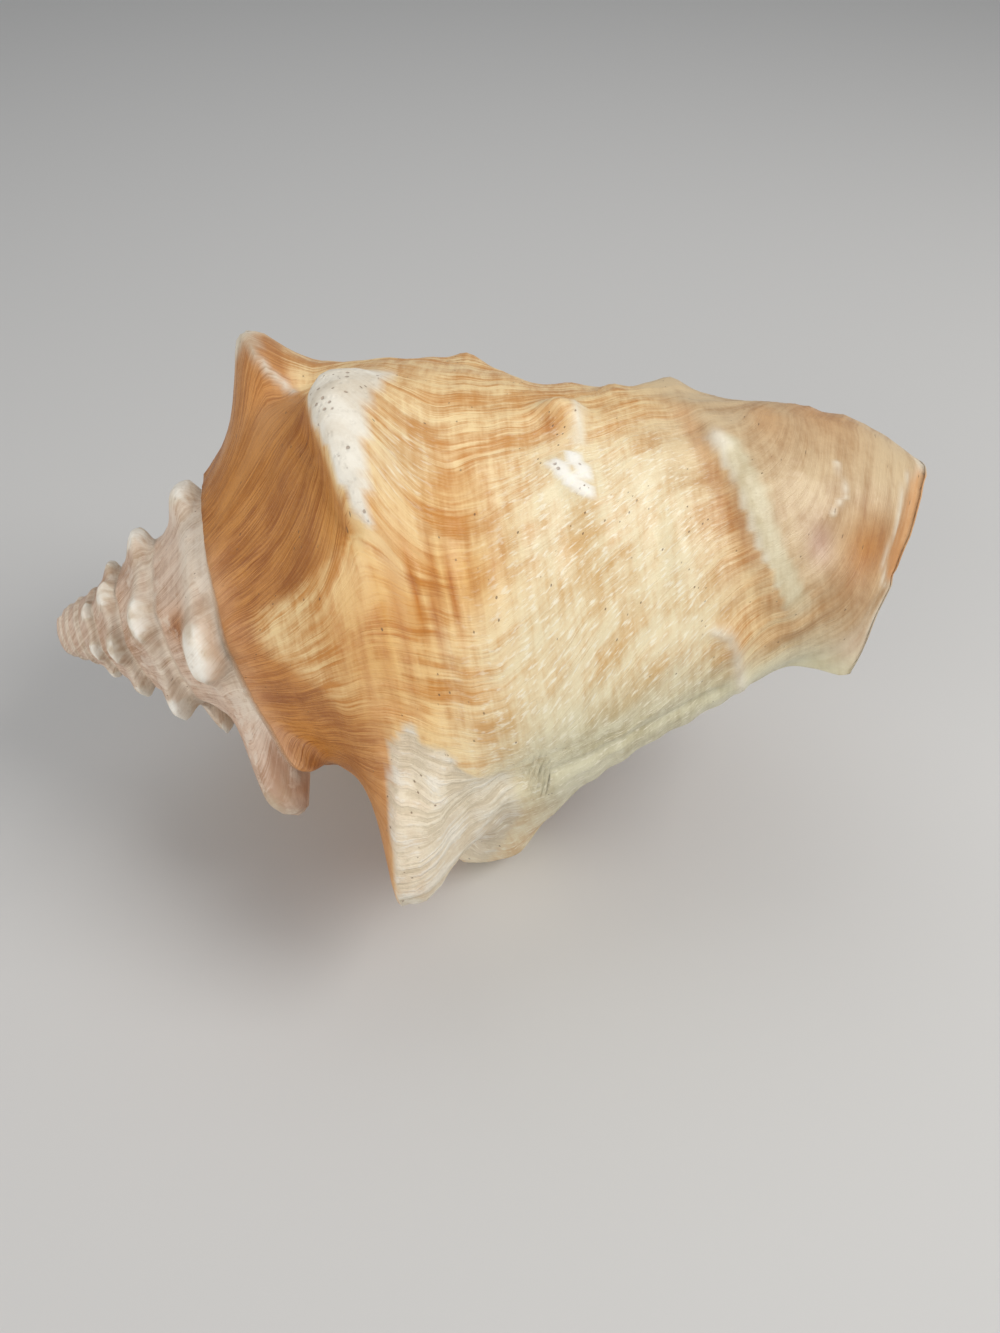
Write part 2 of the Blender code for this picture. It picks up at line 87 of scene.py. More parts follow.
BODY_UNDER = (212.0, ((70, 48), (76, 58), (81, 67.5), (85, 69.6), (90, 66.6), (96, 66.4), (104, 70), (109, 62),
                      (120, 56), (132, 52), (146, 45), (160, 39), (170, 36), (180, 37), (190, 28)))
MERIDIANS = (BODY_TOP, BODY_FACE, BODY_LOW, BODY_EDGE, BODY_LOBE, BODY_UNDER)
ROUNDING = 2.6            # how far each meridian's corners are smoothed

# The columella, the pillar that the coil is wound on, ends off the axis beside the canal
PILLAR = ((60, 9.5), (100, 9), (140, 8.5), (170, 8), (195, 6.8), (205, 6.4))
PILLAR_OFFSET = 4.0
PILLAR_ANGLE = 215.0
PILLAR_GROWTH = 2.6

# Angle of the lip's edge at each station, and station of the front rim at each angle
LIP_EDGE = ((50, 201), (68, 198), (80, 198), (90, 201), (97, 203), (104, 206), (108, 199), (113, 174),
            (120, 168), (132, 165), (160, 163), (172, 161), (179, 157), (190, 157))
FRONT_RIM = ((-600, 192), (-300, 194), (-165, 197), (-90, 200), (-40, 202), (8, 203), (50, 202.2),
             (85, 199), (116, 195), (134, 191.3), (143, 185.8), (150, 182), (157, 178.5), (200, 178))
LIP_SWEEP_START = 20.0    # angle from which the mesh columns lean towards the lip's edge

# Large knobs on the shoulder: angle and station of the base, then angle, station and radius of
# the tip, then half widths before, after, towards the seam and towards the front, and bluntness
KNOBS = (
    (150, 86.0, 154, 80.5, 75.6, 10, 9, 7.6, 9.5, 2.7),
    (50, 85.0, 50, 81.0, 54.8, 10, 15, 8.2, 11, 3.6),
    (76, 86.5, 76, 84.0, 52.6, 12, 11, 5.4, 8, 3.2),
    (5, 63.0, 3, 55.5, 62.0, 9, 12, 8.5, 10, 2.0),
    (-50, 64.0, -52, 60.0, 57.0, 9, 9, 9, 10, 2.7),
    (-115, 57.5, -115, 58.5, 63.5, 10, 10, 8.5, 9, 3.8),
    (-200, 51.4, -200, 54.2, 50.4, 6.8, 6.8, 6.8, 7.2, 6.0),
    (-251, 44.6, -251, 44.8, 38.5, 6.2, 6.2, 4.8, 4.2, 3.6),
    (-335, 40.4, -335, 39.0, 30.2, 5.4, 5.6, 5.0, 3.8, 5.0),
    (-403, 37.2, -403, 36.0, 33.0, 5, 5, 4.4, 3.2, 3.2),
    (-460, 34.8, -460, 33.8, 31.0, 5, 5, 4.2, 3.0, 3.2),
    (-505, 33.0, -505, 32.5, 32.0, 4.6, 4.6, 4.2, 3.0, 3.4),
)
SEAM_BEND = (-199.0, 13.0, 7.0)    # the next whorl's seam bends round the first spire knob
KNOB_LEVEL = 0.7          # how level a spire knob's blunt end is, across the slope it stands on
# Smaller knobs of the early whorls: turn from the lip and height
EARLY_KNOBS = ((-2.10, 4.6), (-2.28, 4.6), (-2.47, 4.6), (-2.62, 4.6), (-2.77, 4.2), (-2.92, 4.0),
               (-3.07, 3.4), (-3.22, 3.2), (-3.36, 3.0), (-3.50, 2.7), (-3.64, 2.4), (-3.78, 2.1),
               (-3.92, 1.9), (-4.06, 1.7), (-4.20, 1.5), (-4.34, 1.3))
# Low lumps of the body: angle, station, height, half width round and half width along
LUMPS = ((8, 107.5, 3.2, 7, 6), (51, 125.6, 4.2, 4.4, 4.0), (12, 150.0, 3.0, 7, 5), (76, 126, 1.2, 7, 7),
         (100, 84.0, 1.2, 14, 12), (128, 155, 1.4, 7, 4))
# Waves of the body seen only up close: angle, station, height, half width round and half width along
WAVES = ((94, 131, 1.1, 8, 2.2), (70, 139, 0.8, 9, 2.4), (106, 118, 0.7, 10, 2.6), (100, 145, 0.9, 8, 2.2),
         (62, 119, -0.9, 6, 3.0), (88, 123, -0.7, 8, 2.4), (118, 131, 0.7, 7, 2.6), (124, 142, 0.9, 7, 2.0),
         (22, 121, -1.0, 7, 3.5), (30, 137, 0.8, 7, 3.0), (10, 128, 0.9, 8, 3.5), (86, 104, -0.6, 12, 3.0))
# Spiral ridge across the front of the body: angle and station along its line, then its height
RIDGE = ((30, 152), (56, 156), (91, 160.5), (123, 165), (150, 170))
RIDGE_HEIGHT = 1.6
RIDGE_REAR = 2.6          # half widths of its steep rear side and of its gentle front side
RIDGE_FRONT = 5.0
HOLLOW_DEPTH = 1.0
HOLLOW_OFFSET = 7.0
HOLLOW_WIDTH = 5.2

# How the shell lies: the coil axis rises towards the front, and this angle points up
AXIS_RISE = 8.5
UP_ANGLE = 45.0
FLAT_CUT = 1.0            # wear that makes the resting points flat

# Mesh density
COLUMNS = 320             # columns in each turn, a multiple of the step below
INNER_STEP = 4            # the hollow takes every fourth column
SEAM_REACH = 9.0          # how far a knob under the seam lifts the next whorl
TURNS = 7.4
RAMP_ROWS = 16
CORNER_ROWS = 14           # body rows covered by the wall at the rear end of the hollow
BODY_ROWS = 94

# Where the apex-centred surface lies in the part's own frame
CENTRE = (100.632, -7.558, -50.408)

# How the growth lines lean: along a whorl of the last turn's size, the angle of one growth line
# at each station, against its angle at the middle of the body
LINE_SHAPE = ((40, 30), (48, 24), (60, 14), (70, 6), (78, 2), (93, 0), (104, -0.5), (110, -2.5), (116, -5),
              (124, -9.5), (134, -15.5), (150, -28), (165, -36), (200, -45))
# A growth line drops back over each knob: angle and station of the notch, depth and half widths
NOTCHES = ((62, 86, 22, 30, 9), (158, 84, 20, 26, 11), (12, 64, 16, 26, 9), (-44, 62, 14, 24, 9),
           (-108, 58, 12, 24, 8))
# Worn crest of the middle knob: angle and station of its edges
CREST_LEFT = ((34, 77), (45, 78.5), (52.5, 80.2), (55.7, 80.9), (65, 84.2), (72, 85.4), (78.4, 87.2),
              (84.4, 89.2), (88, 90))
CREST_RIGHT = ((36, 94), (44.8, 94.1), (54, 92.3), (62.2, 91), (70.4, 90.5), (77, 89.9), (86.4, 90.2),
               (88, 90.2))
# How far the dark orange of the ramp reaches: angle and station, in the sizes of the last whorl
RAMP_REACH = ((20, 78), (45, 82), (60, 84.5), (72, 86), (83, 87.5), (88, 80), (93, 72), (98, 64), (106, 61),
              (113, 64), (122, 76), (135, 80))
# Edge of the flaked patch on the large knob: station and angle
FLAKE = ((83, 128), (84.8, 127.5), (88.5, 122.7), (89.5, 127.9), (94.9, 130.7), (95.8, 133.9), (99.5, 139.2),
         (103.7, 141.4), (110, 144))
# Ridge behind the bevel of the front rim: angle and station
CANAL_EDGE = ((40, 201), (50, 200), (78, 195.2), (105, 191.4), (122, 188.0), (132, 187.6), (141, 190))
# Pits of the worn crest: station, angle, depth and radius
PITS = ((86.7, 66, 1.3, 1.1), (86.9, 72.8, 1.5, 1.2), (90.2, 57, 0.7, 0.7), (90.5, 60, 0.5, 0.6),
        (89.0, 52, 0.6, 0.6), (87.5, 62, 0.6, 0.7), (88.8, 77, 0.6, 0.7), (92.5, 49, 0.5, 0.6))
# Small ridges and creases: the line's points as station and angle, its height and half width
TRACES = (
    (((57, 3), (63.6, 11.7), (65, 17), (67, 23), (69.7, 27), (72, 32)), 1.0, 1.2),
    (((179.8, 70), (179.8, 76), (180.4, 86), (178.5, 88), (176.5, 93)), 0.45, 0.6),
    (((149.6, 123.6), (152.5, 127), (153.6, 133), (155.5, 157)), 0.9, 1.6),
    (((155.5, 60), (156.5, 63)), 0.9, 2.2),
    (((103, 144.6), (111.5, 146.6), (121, 149.5), (133.6, 151), (150, 151)), -1.1, 1.9),
    (((86, 128), (84.6, 138), (84, 150), (83, 165)), 0.9, 1.5),
    (((91, 86), (95, 96), (99, 108), (101, 120)), 0.5, 1.1),
    (((123, 71), (125, 76), (128, 79)), 0.9, 2.0),
    (((126, 68), (128, 74)), 0.5, 1.4),
    (((160, 104), (162, 119)), 0.6, 2.0),
    (((129, 48), (127.8, 63)), 0.8, 1.2),
)
RIM_PACE = ((-120, 5.0), (0, 4.0), (40, 2.8), (90, 2.5), (200, 2.5))   # degrees of growth per mm at the rim
DEGREE_MM = 0.87          # length of a degree of growth in the middle of the body


def growth_scale(angle, reference):
    """How large the whorl is at an angle, against its size at the reference angle."""
    return GROWTH ** ((angle - reference) / 360.0)


def smooth_through(points):
    """A line through a few points, with its corners rounded, as a fine table."""
    grid = np.arange(-20.0, 320.0, 0.5)
    line = np.interp(grid, [p[0] for p in points], [p[1] for p in points])
    offsets = np.arange(-4 * ROUNDING, 4 * ROUNDING + 0.5, 0.5)
    kernel = np.exp(-0.5 * (offsets / ROUNDING) ** 2)
    kernel /= kernel.sum()
    padded = np.pad(line, len(offsets) // 2, mode="edge")
    return grid, np.convolve(padded, kernel, mode="valid")[:len(grid)]


BODY_TABLES = [smooth_through(points) for angle, points in MERIDIANS]
BODY_ANGLES = np.array([angle for angle, points in MERIDIANS])


def ease(value):
    """Smooth step from 0 to 1."""
    t = np.clip(value, 0.0, 1.0)
    return t * t * (3.0 - 2.0 * t)


def soft_max(a, b, width):
    """The larger of two values, with the corner between them rounded."""
    h = np.clip(0.5 + 0.5 * (a - b) / width, 0.0, 1.0)
    return b * (1.0 - h) + a * h + width * h * (1.0 - h)


def table_radius(index, station):
    grid, values = BODY_TABLES[index]
    return np.interp(station, grid, values)


def pillar_radius(station, angle):
    """Distance from the coil axis to the face of the off-centre pillar."""
    turn = np.radians(angle - PILLAR_ANGLE)
    offset = PILLAR_OFFSET * ease((station - 120.0) / 70.0)
    radius = np.interp(station, [p[0] for p in PILLAR], [p[1] for p in PILLAR])
    reach = np.sqrt(np.maximum(radius ** 2 - (offset * np.sin(turn)) ** 2, 0.5))
    return offset * np.cos(turn) + reach + PILLAR_GROWTH * (angle - LIP_ANGLE + 360.0) / 360.0


def grown_radius(station, angle):
    """Radius of the older part, which repeats the top meridian at a smaller scale."""
    scale = growth_scale(angle, BODY_ANGLES[0])
    return soft_max(scale * table_radius(0, station / scale), pillar_radius(station, angle), 4.0)


def measured_radius(station, angle):
    """Radius of the last half whorl, a smooth blend of the measured meridians."""
    values = np.stack([table_radius(k, station) for k in range(len(BODY_TABLES))], -1)
    slopes = np.diff(values, axis=-1) / np.diff(BODY_ANGLES)
    tangents = np.concatenate([slopes[..., :1], 0.5 * (slopes[..., 1:] + slopes[..., :-1]),
                               slopes[..., -1:]], -1)
    inside = np.clip(angle, BODY_ANGLES[0], BODY_ANGLES[-1])
    left = np.clip(np.searchsorted(BODY_ANGLES, inside, side="right") - 1, 0, len(BODY_ANGLES) - 2)
    span = BODY_ANGLES[left + 1] - BODY_ANGLES[left]
    t = (inside - BODY_ANGLES[left]) / span

    def pick(array, shift):
        return np.take_along_axis(array, (left + shift)[..., None], -1)[..., 0]

    blend = (pick(values, 0) * (2 * t ** 3 - 3 * t ** 2 + 1) + pick(values, 1) * (3 * t ** 2 - 2 * t ** 3)
             + span * pick(tangents, 0) * (t ** 3 - 2 * t ** 2 + t)
             + span * pick(tangents, 1) * (t ** 3 - t ** 2))
    return blend


def body_radius(station, angle):
    share = ease((angle - BODY_ANGLES[0] + 50.0) / 50.0)
    return grown_radius(station, angle) * (1.0 - share) + measured_radius(station, angle) * share


def seam_station(angle):
    return SUTURE_STATION * growth_scale(angle, FACE_ANGLE)


def ramp_radius(station, angle):
    """The ramp rises from the seam to the shoulder, slightly hollow."""
    scale = growth_scale(angle, FACE_ANGLE)
    t = (station / scale - SUTURE_STATION) / (SHOULDER_STATION - SUTURE_STATION)
    straight = SUTURE_RADIUS + (SHOULDER_RADIUS - SUTURE_RADIUS) * t
    return scale * (straight - RAMP_SAG * np.sin(np.pi * np.clip(t, 0.0, 1.0)))


def base_radius(station, angle):
    """Outer face without its knobs: the ramp, then the rounded shoulder, then the body."""
    station, angle = np.broadcast_arrays(np.asarray(station, float), np.asarray(angle, float))
    scale = growth_scale(angle, FACE_ANGLE)
    share = ease((station / scale - SHOULDER_STATION + 5.0) / 10.0)
    worn_tip = APEX_BULGE * np.exp(-(station / APEX_REACH) ** 2)
    return ramp_radius(station, angle) * (1.0 - share) + body_radius(station, angle) * share + worn_tip


def early_knob(turn, height):
    """A knob of an early whorl, in the same terms as the large ones."""
    angle = LIP_ANGLE + 360.0 * turn
    scale = growth_scale(angle, FACE_ANGLE)
    station = 0.885 * SHOULDER_STATION * scale
    radius = float(base_radius(station, angle)) + height
    width = 8.6 * scale ** 0.8
    return (angle, station, angle, 0.97 * station, radius, width, width, 0.85 * width, 0.7 * width, 3.2)


ALL_KNOBS = KNOBS + tuple(early_knob(turn, height) for turn, height in EARLY_KNOBS)


KNOB_RISES = [knob[4] - float(base_radius(knob[1], knob[0])) for knob in ALL_KNOBS]


def knob_push(station, radius, angle):
    """How far the knobs move a point of the outer face, along, out and round."""
    push = np.zeros((4,) + station.shape)
    for knob, rise in zip(ALL_KNOBS, KNOB_RISES):
        base_angle, base, tip_angle, tip, tip_radius, before, after, back, front, blunt = knob
        if np.abs(angle - base_angle).min() > 130.0:
            continue
        round_way = np.radians(angle - base_angle) * radius
        along = (station - base) * 1.12
        distance = np.hypot(round_way / np.where(round_way < 0, before, after),
                            along / np.where(along < 0, back, front))
        power = np.where((along > 0) & (base_angle < -165.0), max(blunt, 7.0), blunt)
        share = ease((6.0 - distance) / 3.0) / (1.0 + distance ** power)
        share = np.where(np.abs(angle - base_angle) < 120.0, share, 0.0)
        push[0] += share * (tip - base)
        level = KNOB_LEVEL if base_angle < -165.0 else 0.0
        push[1] += share * (rise - level * (radius - tip_radius + rise))
        push[2] += share * math.radians(tip_angle - base_angle) * tip_radius
        push[3] = np.maximum(push[3], share)
    return push


def relief(station, radius, angle):
    """Low lumps, and the spiral ridge with the hollow behind it."""
    height = np.zeros(station.shape)
    for lump_angle, lump_station, lump_height, wide, long in LUMPS:
        round_way = np.radians(angle - lump_angle) * radius
        height += lump_height * np.exp(-(round_way / wide) ** 2 - ((station - lump_station) / long) ** 2)
    line = np.interp(angle, [p[0] for p in RIDGE], [p[1] for p in RIDGE])
    strength = ease((angle - RIDGE[0][0]) / 25.0) * ease((RIDGE[-1][0] - angle) / 30.0)
    away = station - line
    width = np.where(away < 0.0, RIDGE_REAR, RIDGE_FRONT)
    height += strength * RIDGE_HEIGHT * np.exp(-(away / width) ** 2)
    height -= strength * HOLLOW_DEPTH * np.exp(-((away + HOLLOW_OFFSET) / HOLLOW_WIDTH) ** 2)
    return height


def lip_angle(station):
    return np.interp(station, [p[0] for p in LIP_EDGE], [p[1] for p in LIP_EDGE])


def rim_station(angle):
    return np.interp(angle, [p[0] for p in FRONT_RIM], [p[1] for p in FRONT_RIM])


def lattice(ix, iy, seed):
    """Repeatable random value from 0 to 1 for a cell."""
    wave = np.sin(ix * 127.1 + iy * 311.7 + seed * 74.7) * 43758.5453
    return wave - np.floor(wave)


def noise(x, y, seed=0.0):
    """Smooth random height from -1 to 1 over a plane."""
    ix, iy = np.floor(x), np.floor(y)
    fx, fy = ease(x - ix), ease(y - iy)
    low = lattice(ix, iy, seed) * (1 - fx) + lattice(ix + 1, iy, seed) * fx
    high = lattice(ix, iy + 1, seed) * (1 - fx) + lattice(ix + 1, iy + 1, seed) * fx
    return 2.0 * (low * (1 - fy) + high * fy) - 1.0


def spot(station, angle, at, round_at, long, wide):
    """Soft patch from 0 to 1 round a place on the surface, with half widths in millimetres."""
    across = (angle - round_at) * DEGREE_MM * growth_scale(angle, FACE_ANGLE)
    return np.exp(-((station - at) / long) ** 2 - (across / wide) ** 2)


def growth_age(station, angle):
    """Growth in degrees: lines of equal age are the growth lines."""
    own = station / growth_scale(angle, FACE_ANGLE)
    age = angle - np.interp(own, [p[0] for p in LINE_SHAPE], [p[1] for p in LINE_SHAPE])
    for notch_angle, notch_station, depth, wide, long in NOTCHES:
        drop = np.exp(-((angle - notch_angle) / wide) ** 2 - ((station - notch_station) / long) ** 2)
        age = age + depth * drop
    pinch = np.exp(-((station - 104) / 24.0) ** 2 - ((angle - 143) / 40.0) ** 2)
    age = age + 12.0 * np.tanh((angle - 143) / 3.0) * pinch
    pace = np.interp(angle, [p[0] for p in RIM_PACE], [p[1] for p in RIM_PACE])
    rim_age = LIP_ANGLE - pace * (rim_station(angle) - station)
    last = ease((angle + 190.0) / 30.0)
    return age + (soft_max(age, rim_age, 22.0) - age) * last


def distance_to(station, angle, radius, points):
    """Distance in millimetres from a line drawn through points given as station and angle."""
    across = np.radians(angle) * radius
    nearest = np.full(station.shape, 99.0)
    for (s0, a0), (s1, a1) in zip(points[:-1], points[1:]):
        y0, y1 = np.radians(a0) * radius, np.radians(a1) * radius
        length = (s1 - s0) ** 2 + (y1 - y0) ** 2
        t = np.clip(((station - s0) * (s1 - s0) + (across - y0) * (y1 - y0)) / length, 0.0, 1.0)
        gap = np.hypot(station - s0 - t * (s1 - s0), across - y0 - t * (y1 - y0))
        nearest = np.minimum(nearest, gap)
    return nearest


def crest_edges(angle):
    """Stations of the left and right edge of the worn crest that runs down from the middle knob."""
    return (np.interp(angle, [p[0] for p in CREST_LEFT], [p[1] for p in CREST_LEFT]),
            np.interp(angle, [p[0] for p in CREST_RIGHT], [p[1] for p in CREST_RIGHT]))


def crest_mask(station, angle):
    left, right = crest_edges(angle)
    wander = 0.7 * noise(angle / 3.0, station / 3.0, 12.0)
    side = ease((station - left + 0.4 + wander) / 0.9) * ease((right + 0.4 + 0.5 * wander - station) / 0.9)
    return side * ease((angle - 36.0) / 6.0) * ease((91.0 - angle) / 4.0)


def flake_mask(station, angle):
    """Bare patch on the large knob, where the outer layer has flaked off."""
    bound = np.interp(station, [p[0] for p in FLAKE], [p[1] for p in FLAKE])
    ragged = station + 1.3 * noise(angle / 3.5, station / 4.0, 27.0)
    inside = ease((angle - bound) / 1.6) * ease((ragged - 83.4) / 0.9)
    return inside * ease((107.0 - station - 0.4 * np.maximum(angle - 160.0, 0.0)) / 3.0) * ease((200.0 - angle) / 20.0)


def canal_edge(angle):
    """Station of the ridge behind the worn bevel of the front rim."""
    return np.interp(angle, [p[0] for p in CANAL_EDGE], [p[1] for p in CANAL_EDGE])


def bevel_mask(station, angle):
    return ease((station - canal_edge(angle)) / 1.6) * ease((angle - 40.0) / 14.0) * ease((141.0 - angle) / 5.0)


def fine_relief(station, radius, angle, knob):
    """Growth ribs, spiral cords and the marks of wear, in millimetres."""
    age = growth_age(station, angle) * DEGREE_MM
    own = growth_scale(angle, FACE_ANGLE)
    last = ease((angle + 165.0) / 4.0)
    crest = crest_mask(station, angle)
    chalk = np.maximum(crest, ease((knob - 0.5) / 0.3))
    ribs = 0.17 * noise(age / 2.3, station / 26.0, 1.0) + 0.10 * noise(age / 1.2, station / 17.0, 2.0)
    body = last * ease((station - 82.0) / 10.0) * ease((165.0 - station) / 20.0)
    cords = 0.30 * np.sin(station / 1.19 + 0.8 * noise(age / 12.0, station / 20.0, 8.0)) * body
    cords = cords * (0.5 + 0.5 * noise(station / 9.0, age / 14.0, 9.0)) + 0.14 * noise(station / 2.6, age / 30.0, 3.0)
    dents = 0.35 * noise(station / 13.0, age / 11.0, 4.0) + 0.2 * noise(station / 6.0, age / 5.0, 5.0)
    rough = 0.26 * noise(station / 1.6, angle * radius / 92.0, 6.0) + 0.35 * noise(station / 4.0, angle * radius / 230.0, 16.0)
    knobbly = 0.45 * noise(station / (3.4 * own), angle / 9.0, 7.0) * (1.0 - last)
    keel = 3.0 * np.exp(-((station / own - 64.0) / 3.8) ** 2) - 2.2 * ease((station / own - 67.0) / 4.0)
    knobbly += keel * (1.0 - last) * np.interp(angle, (-560.0, -480.0, -260.0, -200.0), (1.0, 0.6, 0.5, 0.0))
    height = own * (ribs * (1.0 - 0.7 * chalk) + cords * (1.0 - chalk) + dents + rough * chalk + knobbly)

    for wave_angle, wave_station, rise, wide, long in WAVES:
        across = np.radians(angle - wave_angle) * radius
        height += rise * np.exp(-(across / wide) ** 2 - ((station - wave_station) / long) ** 2)

    # Worn crest, with the ramp hollowed beside it
    left, right = crest_edges(angle)
    along = ease((angle - 46.0) / 10.0) * ease((90.0 - angle) / 8.0)
    height += along * 0.5 * np.exp(-((station - 0.5 * (left + right)) / 3.4) ** 2)
    height -= along * 2.4 * np.exp(-((station - left + 4.2) / 3.2) ** 2)
    height -= 1.6 * spot(station, angle, 66.0, 74.0, 9.0, 18.0)
    for at, round_at, depth, size in PITS:
        across = np.radians(angle - round_at) * radius
        height -= depth * np.exp(-((station - at) ** 2 + across ** 2) / size ** 2)

    # Valleys beside the knobs, flake, creases and chips
    height -= 1.8 * spot(station, angle, 106.0, 142.0, 9.0, 5.0)
    height -= 2.2 * spot(station, angle, 72.0, 30.0, 9.0, 4.5)
    patch = flake_mask(station, angle)
    folds = noise(station / 2.2 + 0.06 * angle, angle / 16.0, 21.0)
    sharp = 0.5 - np.abs(noise(station / 3.4 + 0.05 * angle, angle / 11.0, 24.0))
    height += patch * (0.5 * folds + 1.3 * sharp + 0.4 * noise(station / 6.0, angle / 4.0, 22.0) - 0.6)
    height -= 1.8 * bevel_mask(station, angle)
    for points, rise, width in TRACES:
        height += rise * np.exp(-(distance_to(station, angle, radius, points) / width) ** 2)
    height -= 1.6 * spot(station, angle, 183.0, 112.0, 7.0, 14.0)
    height -= 1.1 * spot(station, angle, 173.2, 103.0, 2.4, 6.0)
    return height


def outer_face(station, angle):
    """Station, radius and angle of the finished outer face."""
    radius = base_radius(station, angle)
    along, out, round_way, knob = knob_push(station, radius, angle)
    out = out + relief(station, radius, angle) + fine_relief(station, radius, angle, knob)
    turned = angle + np.degrees(round_way / np.maximum(radius + out, 1.0))
    return station + along, radius + out, turned, knob


def row_station(angle, row):
    """Station of a mesh row: ramp rows end where the next whorl's seam runs, body rows at the rim."""
    seam = seam_station(angle)
    bend_angle, bend_width, bend = SEAM_BEND
    next_seam = seam * GROWTH + bend * np.exp(-((angle - bend_angle) / bend_width) ** 2)
    ramp = seam + (next_seam - seam) * np.minimum(row / RAMP_ROWS, 1.0)
    t = np.clip((row - RAMP_ROWS) / BODY_ROWS, 0.0, 1.0)
    return ramp + (rim_station(angle) - next_seam) * t * (row > RAMP_ROWS)


def leaned_grid(columns, rows):
    """Station and angle of the last whorl's mesh, whose last column is the lip's edge."""
    turn_angle, row = np.meshgrid(LIP_ANGLE + 360.0 * columns / COLUMNS, rows, indexing="ij")
    share = np.clip((turn_angle - LIP_SWEEP_START) / (LIP_ANGLE - LIP_SWEEP_START), 0.0, 1.0) ** 2
    angle = turn_angle.copy()
    for _ in range(14):
        station = row_station(angle, row)
        angle = turn_angle + (lip_angle(station) - LIP_ANGLE) * share
    return station, angle


class ShellMesh:
    """Collects the vertices and faces of the one closed skin."""

    def __init__(self):
        self.points = []
        self.labels = []
        self.faces = []

    def add(self, station, radius, angle, label):
        """A vertex, with where it belongs: plain station and angle, knob share, and how far inside."""
        self.points.append((float(station), float(radius), float(angle)))
        self.labels.append(tuple(float(value) for value in label))
        return len(self.points) - 1

    def quad(self, *corners):
        corners = [c for k, c in enumerate(corners) if c != corners[k - 1]]
        if len(corners) > 2:
            self.faces.append(tuple(corners))

    def sheet(self, grid, flip=False):
        """Faces between the neighbouring columns of a list of columns."""
        for left, right in zip(grid[:-1], grid[1:]):
            for k in range(len(left) - 1):
                corners = (left[k], right[k], right[k + 1], left[k + 1])
                self.quad(*(corners[::-1] if flip else corners))

    def fan(self, loop, centre):
        for here, after in zip(loop, loop[1:] + loop[:1]):
            self.quad(here, after, centre)


def to_space(points):
    """From station, radius and angle to the resting part's own axes, in millimetres."""
    station, radius, angle = np.array(points).T
    turn = np.radians(angle - UP_ANGLE)
    up = radius * np.cos(turn)
    near = radius * np.sin(turn)
    rise = math.radians(AXIS_RISE)
    x = station * math.cos(rise) - up * math.sin(rise)
    z = station * math.sin(rise) + up * math.cos(rise)
    return np.stack([x, -near, z], -1)


